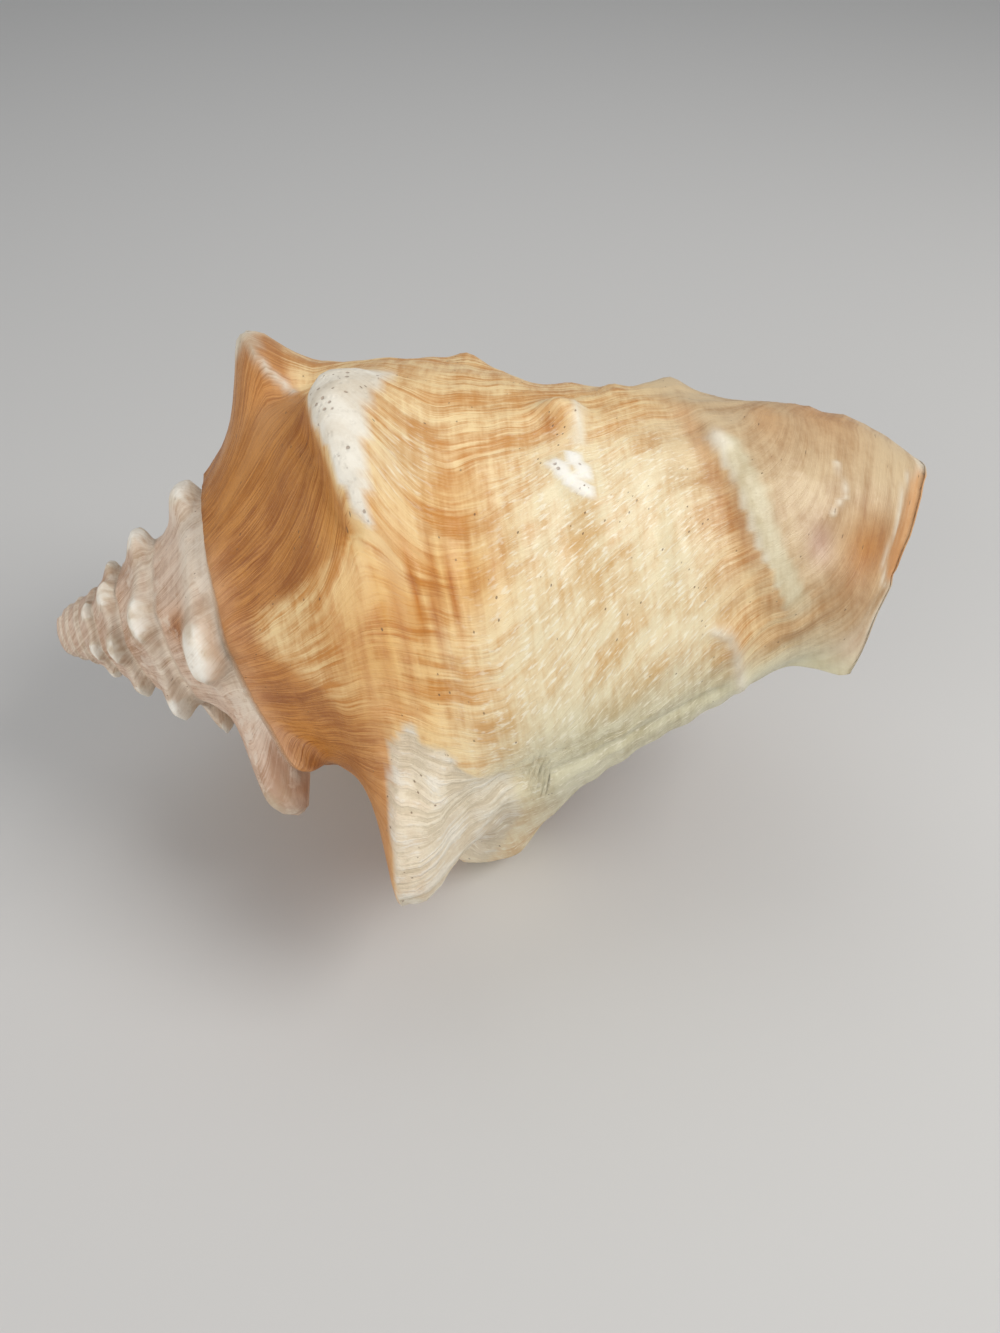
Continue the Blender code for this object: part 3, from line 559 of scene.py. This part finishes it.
def build_points():
    """The whole skin: spire, last whorl, lip, hollow, pillar and caps."""
    mesh = ShellMesh()
    first = -int(round(TURNS * COLUMNS))
    depth = INNER_STEP * int(round(CAVITY_TURNS * COLUMNS / INNER_STEP))
    canal = -INNER_STEP * int(round(CANAL_TURNS * COLUMNS / INNER_STEP))
    last_row = RAMP_ROWS + BODY_ROWS
    corner_row = RAMP_ROWS + CORNER_ROWS
    rows = np.arange(last_row + 1)
    ramp_rows = rows[:RAMP_ROWS + 1]
    inner_rows = rows[corner_row:]
    outer = {}

    def add_column(column, station, angle, column_rows):
        """One column of the outer face, joined to the seam of the whorl below."""
        *place, knob = outer_face(station, angle)
        place = np.stack(place)
        below = outer.get((column - COLUMNS, RAMP_ROWS))
        if below is not None:
            reach = SEAM_REACH * station[0] / SUTURE_STATION
            carry = np.exp(-((station - station[0]) / reach) ** 2)
            seam = np.array([station[0], float(base_radius(station[0], angle[0])), angle[0] - 360.0])
            shift = np.array(mesh.points[below]) - seam
            place = place + shift[:, None] * carry
        for row in column_rows:
            if row == 0 and below is not None:
                outer[column, row] = below
            elif (column, row) not in outer:
                label = (station[row], angle[row], knob[row], 0.0)
                outer[column, row] = mesh.add(*place[:, row], label)

    def plain_column(column):
        angle = np.full(len(rows), LIP_ANGLE + 360.0 * column / COLUMNS)
        return row_station(angle, rows), angle

    # Spire whorls
    for column in range(first, -COLUMNS + 1):
        station, angle = plain_column(column)
        add_column(column, station, angle, ramp_rows)
    mesh.sheet([[outer[c, r] for r in ramp_rows] for c in range(first, -COLUMNS + 1)])

    # Last whorl
    columns = np.arange(-COLUMNS, 1)
    leaned_station, leaned_angle = leaned_grid(columns, rows)
    for column in columns:
        add_column(column, leaned_station[column + COLUMNS], leaned_angle[column + COLUMNS], rows)
    mesh.sheet([[outer[c, r] for r in rows] for c in columns])

    # Face of the older whorls inside the hollow, down to the pillar
    old = range(-COLUMNS - depth, -COLUMNS + 1, INNER_STEP)
    for column in old:
        station, angle = plain_column(column)
        for row in inner_rows:
            if (column, row) not in outer:
                radius = float(base_radius(station[row], angle[row]))
                label = (station[row], angle[row], 0.0, 1.0)
                outer[column, row] = mesh.add(station[row], radius, angle[row], label)
    mesh.sheet([[outer[c, r] for r in inner_rows] for c in old])

    # Inside of the outer wall
    inside = {}
    hollow = range(-depth, 1, INNER_STEP)
    for column in hollow:
        if column < -COLUMNS:
            line, line_angle = plain_column(column)
        else:
            line, line_angle = leaned_station[column + COLUMNS], leaned_angle[column + COLUMNS]
        start = mesh.labels[outer[column - COLUMNS, corner_row]][0] + 0.3
        station = start + (line[-1] - RIM_STEP - start) * (rows / last_row) ** 0.9
        angle = np.interp(station, line, line_angle)
        outside = base_radius(station, angle)
        floor = base_radius(station, angle - 360.0)
        slope = (base_radius(station + 1.0, angle) - base_radius(station - 1.0, angle)) / 2.0
        plain = np.interp(rows, (0, last_row), (WALL_REAR, WALL_FRONT))
        wall = plain * np.sqrt(1.0 + np.clip(slope, -1.2, 1.2) ** 2)
        wall = wall * (1.0 - LIP_THINNING * ease(1.0 + column / COLUMNS / 0.05))
        radius = soft_max(outside - wall, floor + MIN_GAP, 1.0)
        radius = np.minimum(radius, outside - MIN_WALL)
        for row in rows:
            if row == 0:
                inside[column, row] = outer[column - COLUMNS, corner_row]
            elif row == last_row and column <= canal:
                inside[column, row] = outer[column - COLUMNS, last_row]
            else:
                label = (station[row], angle[row], 0.0, 1.0)
                inside[column, row] = mesh.add(station[row], radius[row], angle[row], label)
    mesh.sheet([[inside[c, r] for r in rows] for c in hollow], flip=True)

    # Rounded edge of the lip, then of the front rim
    def edge_points(outer_corner, near, near_label, along, round_way):
        """Three vertices that round the edge between the outer face and the inside."""
        far = np.array(mesh.points[outer_corner])
        far_label = np.array(mesh.labels[outer_corner])
        line = []
        for share, bulge in ((0.12, 0.62), (0.5, 1.0), (0.88, 0.62)):
            point = far + (near - far) * share
            point[0] += along * bulge
            point[2] += math.degrees(round_way * bulge / point[1])
            line.append(mesh.add(*point, far_label + (near_label - far_label) * share))
        return line

    lip = []
    for row in rows:
        left, right = outer[0, row], inside[0, row]
        along = EDGE_ROUND if row == last_row else 0.0
        near = np.array(mesh.points[right])
        line = edge_points(left, near, np.array(mesh.labels[right]), along, EDGE_ROUND)
        lip.append([left] + line + [right])
    mesh.sheet(lip)
    rear_edge = [outer[-COLUMNS, row] for row in range(RAMP_ROWS, corner_row + 1)]
    mesh.faces.append(tuple(rear_edge + lip[0][3:0:-1]))
    crest = {0: lip[-1][1:4]}
    for column in range(-1, canal - 1, -1):
        here = INNER_STEP * round(column / INNER_STEP)
        share = (column - here) / INNER_STEP
        near = np.array(mesh.points[inside[here, last_row]])
        near_label = np.array(mesh.labels[inside[here, last_row]])
        if share:
            side = here + (INNER_STEP if share > 0 else -INNER_STEP)
            near = near + (np.array(mesh.points[inside[side, last_row]]) - near) * abs(share)
        crest[column] = edge_points(outer[column, last_row], near, near_label, EDGE_ROUND, 0.0)
    for column in range(0, canal, -1):
        here = [outer[column, last_row]] + crest[column]
        after = [outer[column - 1, last_row]] + crest[column - 1]
        for k in range(3):
            mesh.quad(here[k], after[k], after[k + 1], here[k + 1])
    for column in range(0, canal, -INNER_STEP):
        near = inside[column, last_row]
        far = inside[column - INNER_STEP, last_row]
        half = INNER_STEP // 2
        for k in range(half):
            mesh.quad(near, crest[column - k][2], crest[column - k - 1][2])
        mesh.quad(near, crest[column - half][2], far)
        for k in range(half, INNER_STEP):
            mesh.quad(far, crest[column - k][2], crest[column - k - 1][2])

    # Deep end of the hollow, the pillar's tip and the apex
    deep = [inside[-depth, row] for row in rows]
    deep += [outer[-COLUMNS - depth, row] for row in inner_rows[::-1][1:-1]]
    centre = np.array([mesh.points[k] for k in deep]).mean(0)
    deep_angle = LIP_ANGLE - 360.0 * depth / COLUMNS
    mesh.fan(deep, mesh.add(centre[0], centre[1], deep_angle, (centre[0], deep_angle, 0.0, 1.0)))
    tip = [outer[column, last_row] for column in range(canal, -COLUMNS, -1)]
    tip += [outer[column, last_row] for column in range(-COLUMNS, canal - COLUMNS - 1, -INNER_STEP)]
    tip += crest[canal][::-1]
    front = max(mesh.points[k][0] for k in tip) + EDGE_ROUND
    mesh.fan(tip, mesh.add(front, 0.0, PILLAR_ANGLE, (front, -165.0, 0.0, 1.0)))
    start = [outer[first, row] for row in ramp_rows[::-1]]
    start += [outer[column, 0] for column in range(first + 1, first + COLUMNS)]
    apex = mesh.points[outer[first, 0]][0] - 2.4
    mesh.fan(start, mesh.add(apex, 0.0, 0.0, (apex, mesh.labels[outer[first, 0]][1], 0.0, 0.0)))
    return mesh


def shell_masks(station, angle, knob, inside):
    """Soft masks from 0 to 1 for the parts of the surface that differ in colour, and for painted shade and painted
    highlights.
    """
    own = station / growth_scale(angle, FACE_ANGLE)
    radius = np.maximum(base_radius(station, angle), 4.0)
    last = ease((angle + 165.0) / 4.0)
    outside = 1.0 - ease(inside * 2.0)
    wander = 2.0 * noise(station / 9.0, angle / 14.0, 11.0)
    reach = np.interp(angle, [p[0] for p in RAMP_REACH], [p[1] for p in RAMP_REACH])
    ramp = last * ease((reach + 0.6 * wander - own) / np.interp(angle, (86.0, 98.0), (2.5, 9.0)))
    ramp = ramp * (1.0 - 0.55 * ease((25.0 - angle) / 25.0))
    ramp = np.maximum(ramp, last * ease((84.6 - station) / 2.0) * ease((angle - 118.0) / 8.0))
    amber = spot(station, angle, 84.0, 108.0, 12.0, 20.0) + 0.8 * spot(station, angle, 103.0, 96.0, 8.0, 7.0)
    # Its spot at station 123 and angle 57 is partly painted shade on the side of a body lump
    amber = last * (amber + 0.5 * spot(station, angle, 100.0, 78.0, 8.0, 6.0) + 0.4 * spot(station, angle, 123.0, 57.0, 4.0, 5.0))
    bars = 1.5 * last * spot(station, angle, 96.5, 98.0, 6.5, 9.0) * (0.5 + 0.5 * np.cos((station - 97.2) * 1.8)) ** 2
    bars = bars + 0.6 * last * spot(station, angle, 85.0, 112.0, 7.0, 10.0) * (0.5 + 0.5 * np.cos((station - 86.0) * 1.5)) ** 2
    peach = last * np.exp(-((station - seam_station(angle)) / 5.0) ** 2) * ease((angle - 60.0) / 30.0)
    peach = np.maximum(peach, (1.0 - last) * spot(station, angle, 54.0, -200.0, 8.0, 9.0))
    peach = np.maximum(peach, 0.35 * last * spot(station, angle, 82.0, 142.0, 3.5, 20.0))
    peach = np.maximum(peach, 0.35 * last * spot(station, angle, 66.0, 26.0, 8.0, 16.0))
    worn = ease((knob - 0.66 + 0.12 * noise(station / 3.0, angle / 5.0, 12.0)) / 0.25)
    tips = np.where(angle < 38.0, worn, ease((knob - 0.93) / 0.05) * ease((angle - 100.0) / 10.0))
    early = 0.85 * ease((knob - np.where(angle > -215.0, 0.72, 0.30) + 0.25 * noise(station / 2.0, angle / 5.0, 13.0)) / 0.55) * (1.0 - last)
    early = np.maximum(early, 0.5 * ease((-angle - 212.0) / 10.0) * ease((own - 65.5 + 2.0 * noise(station / 2.0, angle / 9.0, 26.0)) / 3.0))
    early = np.maximum(early, 0.5 * (1.0 - last) * np.exp(-((own - 64.5) / 3.5) ** 2) * ease((-angle - 200.0) / 60.0))
    lines = sum(np.exp(-(distance_to(station, angle, radius, TRACES[k][0]) / width) ** 2)
                for k, width in ((0, 0.8), (1, 0.5), (2, 1.2), (3, 1.8), (10, 1.1)))
    chip = np.minimum(distance_to(station, angle, radius, TRACES[7][0]), distance_to(station, angle, radius, TRACES[8][0]))
    chip = ease((2.3 + 0.5 * wander - chip) / 0.7)
    ridge_line = np.interp(angle, [p[0] for p in RIDGE], [p[1] for p in RIDGE])
    edge = 0.7 * wander + 0.5 * noise(station / 2.0, angle / 3.0, 23.0)
    ridge = ease((station - ridge_line + 2.4 + edge) / 0.8) * ease((ridge_line + 5.2 - edge - station) / 3.0)
    ridge = ridge * ease((angle - 58.0) / 4.0) * ease((132.0 - angle) / 14.0)
    brink = ease((station - rim_station(angle) + 2.4) / 1.0) * ease((150.0 - angle) / 8.0) * ease((angle - 20.0) / 20.0)
    bridge = np.exp(-((station - canal_edge(angle) + 0.3) / 0.6) ** 2) * ease((angle - 60.0) / 10.0) * ease((138.0 - angle) / 5.0)
    chalk = np.maximum.reduce([0.75 * last * brink, 0.7 * last * bridge, last * crest_mask(station, angle), last * tips, early, last * 0.8 * lines,
                               0.75 * last * flake_mask(station, angle), last * chip, 0.15 * last * ridge])
    front = last * ease((own - 138.0 + 2.0 * wander) / 30.0)
    # Real white of the chips, the worn crest and the spire knob tips, plus a painted highlight on the rear side of the
    # spiral ridge up to its crest
    white_and_highlight = np.maximum.reduce([last * chip, 0.35 * last * ridge * ease((ridge_line - 0.2 - station) / 1.2), 0.4 * last * crest_mask(station, angle),
                               0.9 * (angle < -215.0) * ease((knob - 0.74 + 0.3 * noise(station / 1.3, angle / 4.0, 25.0)) / 0.22)])
    # Orange-brown band behind the spiral ridge: part pigment, part painted shade of the ridge's rear side
    ridge_rear_band_and_shade = last * np.exp(-((station - ridge_line + 4.2) / 2.0) ** 2) * ease((angle - 30.0) / 20.0) * ease((112.0 - angle) / 15.0)
    # Brown tone near the front, with painted shade in the hollow near the front rim
    brown_and_painted_shade = last * np.maximum(spot(station, angle, 184.0, 112.0, 7.0, 15.0), 0.75 * spot(station, angle, 180.0, 20.0, 9.0, 30.0))
    brown_and_painted_shade = np.maximum(brown_and_painted_shade, 0.5 * ridge_rear_band_and_shade)
    # Brown side of a body lump: brown tone with painted shade
    brown_and_painted_shade = np.maximum(brown_and_painted_shade, 0.7 * last * spot(station, angle, 123.2, 57.0, 2.4, 4.0))
    brown_and_painted_shade = np.maximum(brown_and_painted_shade, 0.55 * last * spot(station, angle, 168.0, 44.0, 5.0, 14.0))
    rose = last * (spot(station, angle, 173.2, 103.0, 3.0, 8.0) + 0.5 * spot(station, angle, 180.0, 148.0, 6.0, 7.0))
    pale = last * ease((angle - 118.0 - 0.25 * np.abs(station - 120.0)) / 28.0) * ease((own - 92.0) / 16.0)
    pale = np.maximum(pale, 0.75 * last * ridge)
    middle = last * ease((station - 98.0 - 0.25 * (95.0 - angle)) / 22.0) * ease((angle - 40.0) / 40.0) * ease((158.0 - station) / 14.0)
    middle = np.maximum(middle, 0.75 * last * spot(station, angle, 95.5, 70.0, 5.0, 10.0))
    seam = last * np.exp(-((station - seam_station(angle)) / 0.9) ** 2) * ease((angle + 150.0) / 20.0)
    patch = (1.0 - last) * (spot(station, angle, 38.5, -259.0, 4.0, 6.0) + 0.5 * spot(station, angle, 45.0, -205.0, 4.0, 6.0))
    bevel = last * bevel_mask(station, angle)
    return {"ramp": ramp * outside, "amber": amber * outside, "bars": bars * outside, "peach": peach * outside, "middle": middle * outside,
            "front": front * outside, "pale": pale * outside, "brown_and_painted_shade": brown_and_painted_shade * outside, "rose": rose * outside,
            "spire": (1.0 - last) * outside, "patch": patch * outside, "chalk": chalk * outside, "white_and_highlight": white_and_highlight * outside, "flaked": last * flake_mask(station, angle),
            "bevel": bevel * outside, "seam": seam * outside, "inside": ease(inside * 1.6 - 0.3)}


def colour(red, green, blue):
    """Linear colour from the usual 0 to 255 values."""
    values = []
    for value in (red, green, blue):
        value /= 255.0
        values.append(value / 12.92 if value <= 0.04045 else ((value + 0.055) / 1.055) ** 2.4)
    return (*values, 1.0)


class Tree:
    """Short way to write a material's nodes."""

    def __init__(self, material):
        material.use_nodes = True
        self.tree = material.node_tree
        self.surface = self.tree.nodes["Principled BSDF"]

    def put(self, socket, value):
        if isinstance(value, bpy.types.NodeSocket):
            self.tree.links.new(value, socket)
        else:
            socket.default_value = value

    def node(self, kind, inputs=(), output=0, **settings):
        new = self.tree.nodes.new("ShaderNode" + kind)
        for name, value in settings.items():
            setattr(new, name, value)
        for name, value in dict(inputs).items():
            self.put(new.inputs[name], value)
        return new.outputs[output]

    def math(self, operation, a, b=0.0, clamp=False):
        return self.node("Math", {0: a, 1: b}, operation=operation, use_clamp=clamp)

    def mix(self, share, a, b):
        new = self.tree.nodes.new("ShaderNodeMix")
        new.data_type = "RGBA"
        for index, value in ((0, share), (6, a), (7, b)):
            self.put(new.inputs[index], value)
        return new.outputs[2]

    def attribute(self, name, output="Fac"):
        return self.node("Attribute", output=output, attribute_name=name)

    def noise(self, vector, scale, detail=2.0, roughness=0.5):
        return self.node("TexNoise", {"Vector": vector, "Scale": scale, "Detail": detail,
                                      "Roughness": roughness})

    def stretch(self, vector, amounts, shift=(0.0, 0.0, 0.0)):
        return self.node("VectorMath", {0: vector, 1: amounts, 2: shift}, operation="MULTIPLY_ADD")

    def steps(self, value, low, high):
        """0 below low, 1 above high, smooth between."""
        return self.node("MapRange", {"Value": value, "From Min": low, "From Max": high},
                         interpolation_type="SMOOTHSTEP")


# Light and dark tone of the growth bands on each part of the surface
TONES = (
    ("middle", colour(243, 228, 190), colour(218, 178, 120)),
    ("ramp", colour(208, 142, 70), colour(156, 90, 28)),
    ("amber", colour(236, 186, 110), colour(204, 132, 50)),
    ("bars", colour(200, 124, 44), colour(164, 90, 24)),
    ("peach", colour(232, 178, 126), colour(204, 142, 90)),
    ("front", colour(218, 193, 153), colour(174, 136, 93)),
    ("pale", colour(230, 224, 192), colour(192, 180, 140)),
    # Brown tone, partly painted shade: behind the spiral ridge, on the side of a body lump and in the hollow near the
    # front rim
    ("brown_and_painted_shade", colour(204, 146, 84), colour(168, 104, 50)),
    ("rose", colour(214, 184, 160), colour(190, 150, 124)),
    ("spire", colour(232, 208, 186), colour(188, 148, 118)),
    ("patch", colour(196, 136, 84), colour(150, 88, 44)),
    ("chalk", colour(238, 230, 212), colour(204, 186, 158)),
    # White of chips and worn tips, and a painted highlight on the spiral ridge
    ("white_and_highlight", colour(252, 248, 238), colour(230, 220, 202)),
    ("bevel", colour(228, 184, 134), colour(204, 146, 90)),
    ("inside", colour(238, 190, 158), colour(224, 160, 124)),
    ("seam", colour(120, 84, 54), colour(92, 60, 38)),
)
BODY_LIGHT = colour(250, 220, 164)
BODY_DARK = colour(206, 142, 70)


def shell_look():
    material = bpy.data.materials.new("shell_surface")
    t = Tree(material)
    growth = t.attribute("growth", "Vector")       # mm across the growth lines, along the axis, round
    place = t.node("TexCoord", output="Object")

    # Growth bands, wide to fine, slightly wavy and stronger in some places than in others
    wave = t.noise(t.stretch(growth, (0.09, 0.09, 0.0), (2.0, 4.0, 6.0)), 1.0, 1.0, 0.5)
    shifted = t.math("MULTIPLY", t.math("SUBTRACT", wave, 0.5), 3.5)
    wavy = t.node("VectorMath", {0: growth, 1: t.node("CombineXYZ", {"X": shifted})}, operation="ADD")
    broad = t.noise(t.stretch(wavy, (0.16, 0.06, 0.0)), 1.0, 3.0)
    bands = t.noise(t.stretch(wavy, (0.55, 0.045, 0.0), (7.0, 3.0, 0.0)), 1.0, 2.0, 0.55)
    lines = t.noise(t.stretch(wavy, (2.0, 0.06, 0.0), (1.0, 9.0, 2.0)), 1.0, 2.0, 0.6)
    hairs = t.noise(t.stretch(wavy, (5.5, 0.11, 0.0), (4.0, 2.0, 7.0)), 1.0, 2.0, 0.6)
    cords = t.noise(t.stretch(growth, (0.10, 0.60, 0.0), (3.0, 1.0, 5.0)), 1.0, 2.0, 0.6)
    cloud = t.noise(place, 42.0, 4.0, 0.6)
    mottle = t.noise(place, 150.0, 4.0, 0.65)
    grain = t.noise(place, 900.0, 2.0, 0.6)
    patches = t.noise(t.stretch(growth, (0.16, 0.07, 0.0), (9.0, 8.0, 7.0)), 1.0, 2.0, 0.55)
    chalk = t.attribute("chalk")
    front = t.attribute("front")
    ramp = t.attribute("ramp")
    middle = t.attribute("middle")

    def weighted(*terms):
        total = None
        for socket, weight in terms:
            part = t.math("MULTIPLY", t.math("SUBTRACT", socket, 0.5), weight)
            total = part if total is None else t.math("ADD", total, part)
        return total

    def fall(start, *terms):
        """A level that the masks lower."""
        for socket, weight in terms:
            start = t.math("SUBTRACT", start, t.math("MULTIPLY", socket, weight))
        return t.math("MAXIMUM", start, 0.0)

    calm = fall(1.0, (chalk, 0.8), (front, 0.72), (ramp, 0.45), (middle, 0.62), (t.attribute("pale"), 0.35))
    strong = t.math("MULTIPLY", calm, t.math("ADD", t.math("MULTIPLY", t.steps(patches, 0.35, 0.65), 1.3), 0.45))
    streaks = t.math("MULTIPLY", weighted((bands, 1.2), (lines, 1.2), (hairs, 0.8)), strong)
    fine = t.math("MULTIPLY", weighted((lines, 0.7), (hairs, 1.4)), ramp)
    net = t.math("MULTIPLY", weighted((cords, 1.1)), fall(0.9, (ramp, 0.75), (chalk, 0.8), (front, 0.4)))
    soft = weighted((broad, 1.2), (cloud, 1.4), (mottle, 0.6), (grain, 0.25))
    sum_of = t.math("ADD", t.math("ADD", streaks, fine), t.math("ADD", net, soft))
    tone = t.steps(t.math("ADD", sum_of, 0.42), 0.0, 1.0)
    light, dark = BODY_LIGHT, BODY_DARK
    for name, pale_tone, deep_tone in TONES:
        mask = t.attribute(name)
        light = t.mix(mask, light, pale_tone)
        dark = t.mix(mask, dark, deep_tone)
    base = t.mix(tone, light, dark)

    # Orange patches of the body, and pale flecks that are painted highlights: glints of light on the cords
    body = fall(1.0, (chalk, 1.0), (front, 1.0), (t.attribute("spire"), 1.0), (t.attribute("inside"), 1.0),
                (t.attribute("pale"), 0.7), (ramp, 0.4), (middle, 0.85))
    ochre = t.math("MULTIPLY", t.steps(t.math("ADD", patches, weighted((bands, 0.35))), 0.50, 0.62), body)
    base = t.mix(t.math("MULTIPLY", ochre, 0.42), base, colour(208, 138, 54))
    knots = t.noise(t.stretch(growth, (1.5, 0.45, 0.0), (6.0, 6.0, 6.0)), 1.0, 2.0, 0.55)
    # Painted highlights: short pale glints of light on the cords, mostly on the middle of the body
    painted_glints = t.math("MULTIPLY", t.steps(knots, 0.52, 0.70), fall(0.0, (middle, -0.7)))
    base = t.mix(painted_glints, base, colour(255, 248, 226))
    worn = t.math("MULTIPLY", t.steps(mottle, 0.54, 0.64), t.attribute("spire"))
    base = t.mix(t.math("MULTIPLY", worn, 0.55), base, colour(240, 226, 208))

    # Holes of the worn places
    holes = t.node("TexVoronoi", {"Vector": place, "Scale": 480.0}, feature="F1")
    some = t.noise(place, 230.0, 1.0)
    hole = t.math("MULTIPLY", t.math("MULTIPLY", t.steps(holes, 0.24, 0.12), t.steps(some, 0.45, 0.52)), t.steps(chalk, 0.8, 0.95))
    base = t.mix(t.math("MULTIPLY", hole, 0.6), base, colour(150, 118, 92))

    # Folds that fan out where the outer layer has flaked off, with painted shade in their valleys and painted
    # highlights on their crowns
    flaked = t.attribute("flaked")
    folds = weighted((bands, 1.2), (lines, 0.6), (mottle, 1.6), (patches, 0.6))
    fold_painted_shade = t.math("MULTIPLY", t.steps(folds, -0.02, -0.22), flaked)
    fold_painted_highlight = t.math("MULTIPLY", t.steps(folds, 0.02, 0.25), flaked)
    # Painted shade darkens the fold valleys, and a painted highlight lightens the fold crowns
    base = t.mix(t.math("MULTIPLY", fold_painted_shade, 0.45), base, colour(196, 176, 142))
    base = t.mix(t.math("MULTIPLY", fold_painted_highlight, 0.5), base, colour(250, 246, 234))

    # Small dark pits
    pits = t.node("TexVoronoi", {"Vector": t.stretch(growth, (0.40, 0.42, 0.0)), "Scale": 1.0}, feature="F1")
    chosen = t.noise(t.stretch(growth, (0.1, 0.1, 0.0), (5.0, 5.0, 1.0)), 1.0, 1.0)
    pit = t.math("MULTIPLY", t.steps(pits, 0.105, 0.06), t.steps(chosen, 0.46, 0.52), clamp=True)
    base = t.mix(t.math("MULTIPLY", pit, 0.75), base, colour(122, 92, 62))
    t.put(t.surface.inputs["Base Color"], base)

    # Worn places are duller than the glossy body
    dull = t.math("ADD", t.math("MULTIPLY", chalk, 0.25), 0.27)
    varied = t.math("ADD", dull, t.math("MULTIPLY", cloud, 0.2))
    t.put(t.surface.inputs["Roughness"], t.math("ADD", varied, t.math("MULTIPLY", grain, 0.08), clamp=True))
    t.surface.inputs["Coat Weight"].default_value = 0.12
    t.surface.inputs["Coat Roughness"].default_value = 0.18

    pores = t.node("TexVoronoi", {"Vector": place, "Scale": 700.0}, feature="F1")
    porous = t.math("MULTIPLY", t.steps(pores, 0.0, 0.45), chalk)
    smooth = fall(1.0, (chalk, 0.85), (front, 0.3))
    height = t.math("MULTIPLY", weighted((bands, 0.4), (lines, 0.9), (hairs, 0.6), (cords, 0.5), (knots, 0.5)), smooth)
    height = t.math("ADD", height, weighted((mottle, 0.5), (grain, 0.3)))
    height = t.math("ADD", height, t.math("MULTIPLY", porous, 0.6))
    height = t.math("SUBTRACT", height, t.math("MULTIPLY", hole, 1.6))
    height = t.math("ADD", height, t.math("MULTIPLY", t.math("MULTIPLY", folds, flaked), 2.6))
    height = t.math("SUBTRACT", height, t.math("MULTIPLY", pit, 0.8))
    bump = t.node("Bump", {"Strength": 0.55, "Distance": 0.0004, "Height": height})
    t.put(t.surface.inputs["Normal"], bump)
    return material


def place_points(points):
    """Into the part's own frame, in metres; the resting points are worn flat."""
    placed = to_space(points) - np.array(CENTRE)
    placed[:, 2] = np.maximum(placed[:, 2], 0.0)
    return placed * MM


def make_shell():
    mesh = build_points()
    data = bpy.data.meshes.new("shell")
    data.from_pydata(place_points(mesh.points).tolist(), [], mesh.faces)
    data.update()
    data.shade_smooth()
    station, angle, knob, inside = np.array(mesh.labels).T
    age = growth_age(station, angle)
    growth = np.stack([age * DEGREE_MM, station, angle * DEGREE_MM], -1)
    data.attributes.new("growth", "FLOAT_VECTOR", "POINT").data.foreach_set("vector", growth.ravel())
    for name, values in shell_masks(station, angle, knob, inside).items():
        data.attributes.new(name, "FLOAT", "POINT").data.foreach_set("value", np.clip(values, 0, 1))
    shell = bpy.data.objects.new("shell_looks", data)
    bpy.context.collection.objects.link(shell)
    data.materials.append(shell_look())
    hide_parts("conch_shell")
    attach(shell, "root")
    print("shell triangles", sum(len(face.vertices) - 2 for face in data.polygons))


def make_floor():
    size = 1.6
    data = bpy.data.meshes.new("floor")
    corners = [(-size, -size, 0), (size, -size, 0), (size, size, 0), (-size, size, 0)]
    data.from_pydata(corners, [], [(0, 1, 2, 3)])
    floor = bpy.data.objects.new("floor", data)
    bpy.context.collection.objects.link(floor)
    material = bpy.data.materials.new("floor")
    material.use_nodes = True
    surface = material.node_tree.nodes["Principled BSDF"]
    surface.inputs["Base Color"].default_value = colour(206, 205, 203)
    surface.inputs["Roughness"].default_value = 0.7
    data.materials.append(material)


# The camera that took the photograph, in the surface's own axes: where the apex appears and how
# the coil axis lies in the view (right, up and towards the camera)
APEX_IN_VIEW = np.array([-105.40, 7.715, -273.0])
AXIS_IN_VIEW = np.array([0.98786, 0.13883, 0.06976])
TOP_IN_VIEW = np.array([-0.13846, 0.99032, -0.00978])
LENS = 31.06              # mm on a 36 mm long side


def make_camera():
    near_in_view = np.cross(AXIS_IN_VIEW, TOP_IN_VIEW)

    def to_part(vector):
        """A vector in the view, as one in the part's frame."""
        along, top, near = vector @ AXIS_IN_VIEW, vector @ TOP_IN_VIEW, vector @ near_in_view
        turn = math.radians(UP_ANGLE)
        rise = math.radians(AXIS_RISE)
        up = top * math.cos(turn) + near * math.sin(turn)
        front = near * math.cos(turn) - top * math.sin(turn)
        x = along * math.cos(rise) - up * math.sin(rise)
        z = along * math.sin(rise) + up * math.cos(rise)
        return np.array([x, -front, z])

    place = to_part(-APEX_IN_VIEW) - np.array(CENTRE)
    columns = [to_part(unit) for unit in np.eye(3)]
    rotation = Matrix(np.array(columns).T.tolist()).to_quaternion()
    data = bpy.data.cameras.new("camera")
    data.lens = LENS
    data.sensor_width = 36.0
    data.clip_start = 0.01
    camera = bpy.data.objects.new("camera", data)
    camera.matrix_world = Matrix.LocRotScale(Vector(place * MM), rotation, None)
    bpy.context.collection.objects.link(camera)
    bpy.context.scene.camera = camera
    return camera


def area_light(name, place, target, size, power, tint):
    data = bpy.data.lights.new(name, "AREA")
    data.size = size
    data.energy = power
    data.color = tint
    light = bpy.data.objects.new(name, data)
    light.location = place
    light.rotation_euler = (Vector(target) - Vector(place)).to_track_quat("-Z", "Y").to_euler()
    bpy.context.collection.objects.link(light)


def make_lights():
    middle = (0.0, 0.0, 0.05)
    area_light("key", (0.52, -0.16, 0.62), middle, 0.40, 3.6, (1.0, 0.98, 0.95))
    area_light("fill", (-0.55, -0.6, 0.35), middle, 0.8, 3.8, (1.0, 0.98, 0.96))
    area_light("top", (-0.05, 0.35, 0.8), middle, 0.6, 1.2, (1.0, 1.0, 1.0))
    world = bpy.data.worlds.new("room")
    world.use_nodes = True
    world.node_tree.nodes["Background"].inputs["Color"].default_value = colour(214, 217, 221)
    world.node_tree.nodes["Background"].inputs["Strength"].default_value = 0.42
    bpy.context.scene.world = world


make_shell()
make_floor()
make_camera()
make_lights()
bpy.context.scene.view_settings.view_transform = "Standard"
